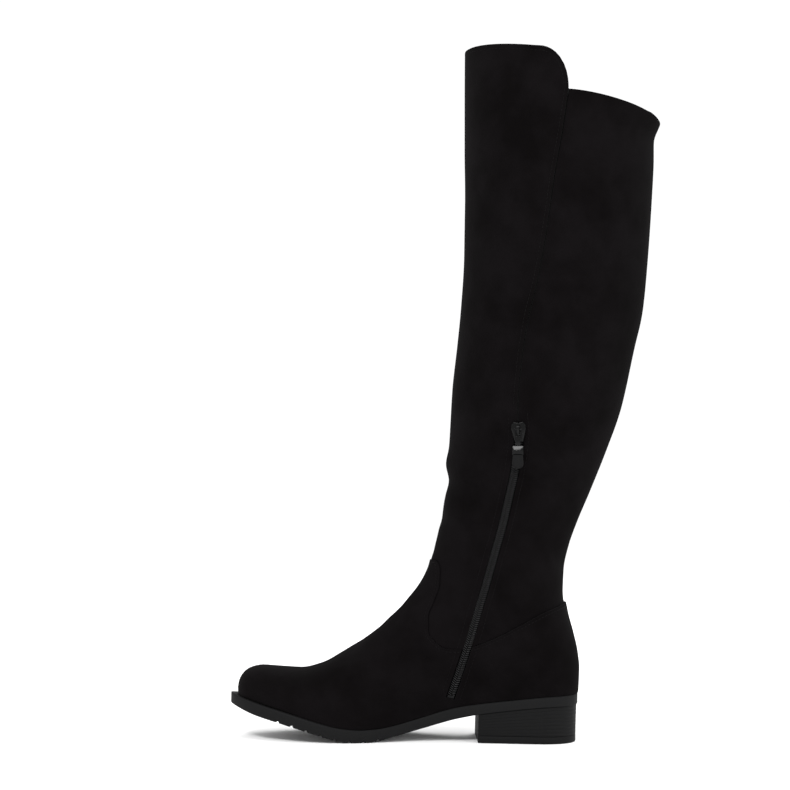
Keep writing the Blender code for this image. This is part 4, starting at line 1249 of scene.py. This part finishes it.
def join(name, *pieces):
    """One mesh of several."""
    bm = bmesh.new()
    for piece in pieces:
        bm.from_mesh(piece.data)
    finishes = list(pieces[0].data.materials)
    for piece in pieces:
        bpy.data.objects.remove(piece)
    mesh = bpy.data.meshes.new(name)
    bm.to_mesh(mesh)
    bm.free()
    return piece_of(name, mesh, finishes, SMOOTH_ANGLE)


def pull_frame(side):
    """The frame of a hanging pull: its origin on the hinge line, its Z axis upright."""
    placed, _ = slider_frame(side)
    level = placed.to_3x3() @ Vector((1, 0, 0))
    out = Vector((0, 0, 1)).cross(level)
    made = Matrix((level, out, (0, 0, 1))).transposed().to_4x4()
    made.translation = placed @ Vector((0, SLIDER_PLATE + PIN / 2 + EYE_PLAY, 0))
    return made


def round_end(half, bottom, roundness):
    """The lower end of a hanging plate: a half ellipse from its right side to its left."""
    turns = [math.pi * i / ROUND_STEPS for i in range(ROUND_STEPS + 1)]
    return [
        (half * math.cos(a), bottom + half * roundness * (1 - math.sin(a))) for a in turns
    ]


def eyed_plate(name, placed, shape, finish):
    """A pull cut from plate, with the eye that goes round the slider's bridge."""
    eye = BRIDGE_WIDTH / 2 + EYE_PLAY
    far = math.hypot(BRIDGE_REACH, PIN / 2 + EYE_PLAY + BRIDGE_BAR) + EYE_PLAY
    hole = ((-eye, -PIN / 2), (eye, -PIN / 2), (eye, -far), (-eye, -far))
    piece = plate(name, placed, shape, -PIN / 2, PIN / 2, finish)
    cut = plate(f"{name}_eye", placed, hole, -PIN, PIN, finish)
    combine(piece, cut, "DIFFERENCE")
    return soften(piece, 0.0003)


def rounded_grip(name, placed, shape, middle, thick, power, finish):
    """A moulded piece: an outline that domes towards both faces, flatter with a small power."""
    rings = []
    for i in range(13):
        turn = math.radians(86) * (i / 6 - 1)
        shrink = math.cos(turn) ** power
        rings.append([
            (u * shrink, math.sin(turn) * thick, middle + (w - middle) * shrink) for u, w in shape
        ])
    return placed_loft(name, placed, rings, finish)


def ridged_band(name, placed, wide, low, high, thick, finish):
    """A glossy band across a pull, with two flat slopes that meet in a level ridge."""
    middle, edge = (low + high) / 2, thick - (high - low) / 2 * math.tan(FERRULE_SLOPE)
    front = ((low, 0.0), (low, edge * 0.7), (low + 0.0003, edge), (middle - 0.0002, thick - 0.0001))
    front += ((middle, thick), (middle + 0.0002, thick - 0.0001), (high - 0.0003, edge))
    front += ((high, edge * 0.7), (high, 0.0))
    profile = [*front, *[(w, -n) for w, n in front[-2:0:-1]]]
    rings = []
    ends = ((0.88, 1.0), (0.97, 0.85), (1.0, 0.55))
    for share, scale in (*[(-u, v) for u, v in ends[::-1]], *ends):
        rings.append([
            (share * wide, n * scale, middle + (w - middle) * (0.9 + 0.1 * scale)) for w, n in profile
        ])
    return placed_loft(name, placed, rings, finish)


def inner_pull(black, rubber):
    """The inner zip's pull: a metal link, a glossy ferrule and a soft round-ended tongue."""
    placed = pull_frame(MEDIAL)
    half = BRIDGE_WIDTH / 2 + EYE_PLAY + LINK_SIDE
    neck = half * 0.72
    right = ((half, PIN / 2), (half, -EYE_END), (neck, -LINK_NECK), (neck, -COIL_LINK))
    loop = eyed_plate("inner_pull_loop", placed, mirrored(right), black)
    top, wide, thick = -COIL_LINK - GAP, COIL_GRIP_WIDTH / 2, COIL_GRIP_THICK / 2
    turn = top - FERRULE_LENGTH
    low = top - COIL_GRIP_LENGTH
    ferrule = ridged_band("inner_pull_ferrule", placed, wide * 0.94, turn, top, thick, black)
    shape = mirrored(((wide * 0.84, turn),), round_end(wide, low, 0.9))
    tongue = rounded_grip("inner_pull_tongue", placed, shape, turn, thick * 0.86, 0.16, rubber)
    return loop, ferrule, tongue


def outer_pull(gold):
    """The outer zip's pull: one slim plate."""
    placed = pull_frame(LATERAL)
    half, wide = BRIDGE_WIDTH / 2 + EYE_PLAY + LINK_SIDE, METAL_PULL_WIDTH / 2
    neck = half * 0.62
    right = ((half, PIN / 2), (half, -EYE_END), (neck, -LINK_NECK), (wide * 0.8, -METAL_NECK))
    shape = mirrored(right, round_end(wide, -METAL_PULL, 0.7))
    return eyed_plate("outer_pull_plate", placed, shape, gold)


def lug_cut(x, first, last):
    """How far the sole's underside is cut up at a place, between its lugs."""
    if not first <= x <= last:
        return 0.0
    place = (x - first) % LUG_PITCH
    if place > LUG_GAP:
        return 0.0
    return LUG_DEPTH * min(1.0, min(place, LUG_GAP - place) / 0.0005)


def both_halves(x, shift, side):
    """A ring across the boot, from one half given as distances from its middle and heights."""
    right = [Vector((x, shift + y, z)) for y, z in side]
    return right + [Vector((x, shift - y, z)) for y, z in side[::-1]]


def outsole(finish):
    """The full-length moulded sole: rounded lip, lugs under the forefoot and flat shank."""
    toe, back = HEEL_BACK - FOOT_LENGTH - TOE_LIP, HEEL_BACK + HEEL_LIP
    length = back - toe
    first = toe + length * LUG_START
    lugs = math.ceil(length * (LUG_END - LUG_START) / LUG_PITCH) - 1
    last = first + LUG_PITCH * (lugs - 1) + LUG_GAP
    ends = [0.0008, 0.003, 0.007, 0.013, 0.021, 0.031]
    places = [toe + length * s for s in ends]
    x = places[-1] + 0.0015
    while x < toe + length * 0.96:
        places.append(x)
        near_lugs = first - 0.001 < x < last
        x += 0.0005 if near_lugs and (x - first) % LUG_PITCH < LUG_GAP + 0.0006 else 0.0018
    places += [toe + length * s for s in (0.965, 0.975, 0.984, 0.991, 0.996, 0.9992)]
    rings = []
    for x in places:
        half, shift = outline(sole_share(x), BALL_WIDTH + 2 * SIDE_LIP)
        half, shift = float(half), float(shift)
        top, bottom = float(seat(x)), float(tread(x)) + lug_cut(x, first, last)
        r = min(EDGE_ROUND, half * 0.5, (top - bottom) * 0.3)
        low = min(r, 0.0008)
        side = [(half - low + low * math.sin(a), bottom + low - low * math.cos(a)) for a in QUARTER]
        side += [(half - r + r * math.cos(a), top - r + r * math.sin(a)) for a in QUARTER]
        side.append((half * 0.5, top))
        side.insert(0, (half * 0.5, bottom))
        rings.append(both_halves(x, shift, side))
    return loft("outsole_moulding", rings, (finish,))


QUARTER = [math.pi / 2 * i / 4 for i in range(5)]


def heel_ring(inset, height_of):
    """The heel's outline in plan: a straight breast and the sole's round back."""
    breast = -HEEL_LENGTH / 2
    points = []
    for i in range(33):
        turn = math.pi / 2 * i / 32
        x = breast + (HEEL_LENGTH - inset) * math.sin(turn)
        share = sole_share(x + HEEL_INSET * (x - breast) / HEEL_LENGTH)
        half, shift = outline(max(share, 0.0008), BALL_WIDTH + 2 * SIDE_LIP)
        points.append((x, max(float(half) - HEEL_INSET - inset, 0.0015), float(shift)))
    right = [Vector((x, shift + half, height_of(x))) for x, half, shift in points]
    left = [Vector((x, shift - half, height_of(x))) for x, half, shift in points[::-1]]
    return right + left


def heel_block(finish):
    """The heel block, with fine level lines where its lifts would be."""
    low = TOP_PIECE + LIFT_SEAM
    levels = [(0.0, 0.0006), (0.015, 0.0001), (0.03, 0.0)]
    for i in range(1, LIFT_LINES):
        share = i / LIFT_LINES
        levels += [
            (share - 0.016, 0.0), (share - 0.008, LIFT_GROOVE * 0.7), (share, LIFT_GROOVE),
            (share + 0.008, LIFT_GROOVE * 0.7), (share + 0.016, 0.0),
        ]
    levels.append((1.0, 0.0))
    rings = []
    for share, groove in levels:

        def height_of(x, share=share):
            return low + share * (float(tread(x)) - GAP - low)

        rings.append(heel_ring(HEEL_TAPER * (1 - share) + groove, height_of))
    return loft("heel_moulding", rings, (finish,))


def top_lift(finish):
    """The rubber lift that the heel stands on."""
    levels = (
        (0.0, 0.0010), (0.0004, 0.0004), (0.0010, 0.0), (TOP_PIECE - 0.0004, 0.0), (TOP_PIECE, 0.0003),
    )
    rings = [heel_ring(HEEL_TAPER + inset, lambda x, z=z: z) for z, inset in levels]
    return loft("top_lift", rings, (finish,))


def footbed(finish):
    """The footbed inside, on the sole."""
    inset = WALL + INSOLE_PLAY
    rings = []
    for i in range(90):
        share = 0.5 - 0.5 * math.cos(math.pi * (0.03 + 0.94 * i / 89))
        x = HEEL_BACK - inset - share * (FOOT_LENGTH - 2 * inset)
        half = float(outline(share, BALL_WIDTH - 2 * inset)[0])
        shift = float(outline((HEEL_BACK - x) / FOOT_LENGTH, BALL_WIDTH)[1])
        z = float(seat(x)) + GAP
        side = [(half, z), (half, z + INSOLE - 0.0006), (half - 0.0006, z + INSOLE)]
        rings.append(both_halves(x, shift, side))
    return loft("footbed", rings, (finish,))


def finish_of(name, colour, roughness, metallic=0.0, **sockets):
    """A Principled material; further sockets are set straight on the shader."""
    made = bpy.data.materials.new(name)
    made.use_nodes = True
    shader = made.node_tree.nodes["Principled BSDF"]
    shader.inputs["Base Color"].default_value = (*colour, 1.0)
    shader.inputs["Roughness"].default_value = roughness
    shader.inputs["Metallic"].default_value = metallic
    for socket, value in sockets.items():
        shader.inputs[socket.replace("_", " ")].default_value = value
    return made


def add_noise(made, scale, detail=2.0, roughness=0.5, stretch=(1.0, 1.0, 1.0)):
    """A noise pattern fixed to the piece."""
    nodes, links = made.node_tree.nodes, made.node_tree.links
    place = nodes.new("ShaderNodeTexCoord")
    scaled = nodes.new("ShaderNodeMapping")
    scaled.inputs["Scale"].default_value = stretch
    noise = nodes.new("ShaderNodeTexNoise")
    noise.inputs["Scale"].default_value = scale
    noise.inputs["Detail"].default_value = detail
    noise.inputs["Roughness"].default_value = roughness
    links.new(place.outputs["Object"], scaled.inputs["Vector"])
    links.new(scaled.outputs["Vector"], noise.inputs["Vector"])
    return noise


def add_bump(made, noise, strength, distance):
    """Bumps the surface by a pattern, on top of any bump that is there."""
    nodes, links = made.node_tree.nodes, made.node_tree.links
    shader = nodes["Principled BSDF"]
    bump = nodes.new("ShaderNodeBump")
    bump.inputs["Strength"].default_value = strength
    bump.inputs["Distance"].default_value = distance
    before = shader.inputs["Normal"].links
    if before:
        links.new(before[0].from_socket, bump.inputs["Normal"])
    links.new(noise.outputs["Fac"], bump.inputs["Height"])
    links.new(bump.outputs["Normal"], shader.inputs["Normal"])


def add_mottle(made, noise, low, high, near=0.35, far=0.65):
    """Varies the base colour between two tones by a pattern."""
    nodes, links = made.node_tree.nodes, made.node_tree.links
    ramp = nodes.new("ShaderNodeValToRGB")
    ramp.color_ramp.elements[0].position = near
    ramp.color_ramp.elements[0].color = (*low, 1.0)
    ramp.color_ramp.elements[1].position = far
    ramp.color_ramp.elements[1].color = (*high, 1.0)
    links.new(noise.outputs["Fac"], ramp.inputs["Fac"])
    links.new(ramp.outputs["Color"], nodes["Principled BSDF"].inputs["Base Color"])


def suede_finish():
    """Black suede: brushed in soft blotches, with a fine nap."""
    made = finish_of(
        "black suede", (0.0030, 0.0025, 0.0027), 0.95,
        Sheen_Weight=0.016, Sheen_Roughness=0.5, Specular_IOR_Level=0.0,
    )
    blotches = add_noise(made, 26.0, 3.0, 0.6)
    add_mottle(made, blotches, (0.0024, 0.0020, 0.0021), (0.0040, 0.0034, 0.0037))
    add_bump(made, add_noise(made, 55.0, 2.0), 0.25, 0.0009)
    add_bump(made, add_noise(made, 1500.0, 2.0, 0.7), 0.35, 0.00025)
    return made


# The plain finishes.
# columns: name, base colour, roughness, metallic, specular level, then the bump: scale and detail of
# its noise, strength and depth.
FINISHES = {
    "lining": ("black lining", (0.006, 0.006, 0.0065), 0.9, 0.0, 0.1, 1100.0, 1.0, 0.4, 0.0003),
    "bed": ("black coil tape with painted shade", (0.0012, 0.0012, 0.0013), 0.9, 0.0, 0.0, 1400.0, 1.0, 0.4, 0.0003),
    # The coil tape is darker than the lateral tape: black tape plus painted shade for the gaps between
    # the coil's turns.
    "tape": ("black zip tape", (0.0040, 0.0040, 0.0043), 0.9, 0.0, 0.08, 1400.0, 1.0, 0.4, 0.0003),
    # The coil's grey is partly the nylon's own dark tone and partly painted glints that lighten its
    # turns.
    "nylon": ("nylon coil with painted glints", (0.0210, 0.0210, 0.0215), 0.30, 0.0, 0.16, 700.0, 2.0, 0.05, 0.0001),
    "black": ("glossy black metal", (0.0022, 0.0022, 0.0023), 0.12, 0.0, 0.12, 200.0, 2.0, 0.03, 0.0002),
    "gold": ("light gold metal", (0.80, 0.55, 0.30), 0.26, 1.0, 0.5, 250.0, 2.0, 0.04, 0.0002),
    "thread": ("black thread", (0.0040, 0.0035, 0.0037), 0.6, 0.0, 0.04, 3000.0, 2.0, 0.3, 0.0001),
}
RUBBERS = {
    "sole": ("sole rubber", 0.0060), "heel": ("heel rubber", 0.0050),
    "lift": ("top piece rubber", 0.0048), "grip": ("soft grip", 0.0048),
}
WEAVE = (1.0, 1.0, 2.2)


def finishes():
    """Every material of the boot; the rubbers differ in their tone alone."""
    rows = dict(FINISHES)
    for key, (name, tone) in RUBBERS.items():
        rows[key] = (name, (tone, tone, tone * 1.03), 0.68, 0.0, 0.07, 900.0, 2.0, 0.12, 0.0002)
    look = {"suede": suede_finish()}
    for key, row in rows.items():
        name, colour, roughness, metallic, specular, scale, detail, strength, depth = row
        made = finish_of(name, colour, roughness, metallic, Specular_IOR_Level=specular)
        stretch = WEAVE if key == "lining" else (1.0, 1.0, 1.0)
        add_bump(made, add_noise(made, scale, detail, 0.5, stretch), strength, depth)
        look[key] = made
    return look


def photo_camera():
    """The photo's camera, upright but for its small roll, with the horizon below the middle."""
    data = bpy.data.cameras.new("photo_camera")
    data.sensor_width = SENSOR
    data.lens = FOCAL_PIXELS / IMAGE_PIXELS * SENSOR
    data.shift_y = HORIZON_DROP / IMAGE_PIXELS
    data.clip_end = VIEW_REACH
    camera = bpy.data.objects.new("photo_camera", data)
    bpy.context.scene.collection.objects.link(camera)
    up = Vector((-ROLL, 0.0, 1.0)).normalized()
    back = Vector((0.0, -1.0, 0.0))
    camera.matrix_world = Matrix((up.cross(back), up, back)).transposed().to_4x4()
    camera.location = EYE
    bpy.context.scene.camera = camera


def lamp(name, place, size, power):
    """A soft studio light that looks at the middle of the boot."""
    data = bpy.data.lights.new(name, "AREA")
    data.shape = "RECTANGLE"
    data.size, data.size_y = size
    data.energy = power
    made = bpy.data.objects.new(name, data)
    made.location = place
    towards = Vector(LIT) - Vector(place)
    made.rotation_euler = towards.to_track_quat("-Z", "Y").to_euler()
    bpy.context.scene.collection.objects.link(made)


def studio():
    """A pale floor, white surroundings and soft lights."""
    bpy.ops.mesh.primitive_plane_add(size=FLOOR, location=(0, 0, 0))
    floor = bpy.context.active_object
    floor.name = "studio_floor"
    pale = finish_of("pale floor", (0.97, 0.97, 0.97), 0.8, Specular_IOR_Level=0.2)
    add_bump(pale, add_noise(pale, 40.0), 0.02, 0.0005)
    floor.data.materials.append(pale)
    world = bpy.data.worlds.new("studio")
    world.use_nodes = True
    surround = world.node_tree.nodes["Background"]
    surround.inputs["Color"].default_value = (1.0, 1.0, 1.0, 1.0)
    surround.inputs["Strength"].default_value = 1.05
    bpy.context.scene.world = world
    lamp("key", (-0.7, -1.75, 1.75), (1.2, 0.5), 42.0)
    lamp("fill", (1.6, -1.2, 1.0), (1.0, 1.4), 18.0)
    lamp("rim", (0.6, 1.7, 1.6), (1.4, 1.0), 24.0)
    bpy.context.scene.view_settings.view_transform = "Standard"


def dress():
    """Builds every piece, ties it to its body and hides the CAD node that it stands for."""
    look = finishes()
    suede, lining = look["suede"], look["lining"]
    black, gold = look["black"], look["gold"]
    loop, ferrule, tongue = inner_pull(black, look["grip"])
    # The coil tape's finish is black with painted shade for the gaps between the coil's turns.
    coil_tape = tape("inner_zip_tape", MEDIAL, COIL_LOW, COIL_WIDTH, look["bed"])
    metal_tape = tape("outer_zip_tape", LATERAL, METAL_LOW, METAL_WIDTH, look["tape"])
    coil_stop = bottom_stop("inner_zip_stop", MEDIAL, COIL_LOW, COIL_STOP, black)
    metal_stop = bottom_stop("outer_zip_stop", LATERAL, METAL_LOW, METAL_STOP, gold)
    pieces = [
        (panel("shaft_front_panel", True, 0.0, suede, lining), "root", "shaft", "suede"),
        (panel("shaft_back_panel", False, PANEL_STEP, suede, lining), "root", "shaft", "suede"),
        (foot_part(suede, lining), "root", "upper", "suede"),
        (vamp_fold(suede), "root", "upper", "suede"),
        (outsole(look["sole"]), "root", "outsole", "sole_rubber"),
        (heel_block(look["heel"]), "root", "heel_block", "heel"),
        (top_lift(look["lift"]), "root", "top_piece", "sole_rubber"),
        (footbed(lining), "root", "insole", "lining"),
        (coil_tape, "root", "inner_zip", "coil"),
        (coil_chain(look["nylon"]), "root", "inner_zip", "coil"),
        (coil_stop, "root", "inner_zip", "coil"),
        (slider("inner_slider_body", MEDIAL, black), "root", "inner_slider", "black_metal"),
        (loop, "inner_pull", "inner_pull_link", "black_metal"),
        (ferrule, "inner_pull", "inner_pull_grip", "black_metal"),
        (tongue, "inner_pull", "inner_pull_grip", "grip"),
        (metal_tape, "root", "outer_zip", "zip_tape"),
        (tooth_chain(gold), "root", "outer_zip", "gold_metal"),
        (metal_stop, "root", "outer_zip", "gold_metal"),
        (slider("outer_slider_body", LATERAL, gold), "root", "outer_slider", "gold_metal"),
        (outer_pull(gold), "outer_pull", "outer_pull", "gold_metal"),
    ]
    for piece, body, node, slot in pieces:
        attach(piece, body)
        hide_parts(node)
    tapes = seam_tapes(lining)
    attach(tapes, "root")
    for piece in stitching(look["thread"]):
        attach(piece, "root")


photo_camera()
studio()
dress()
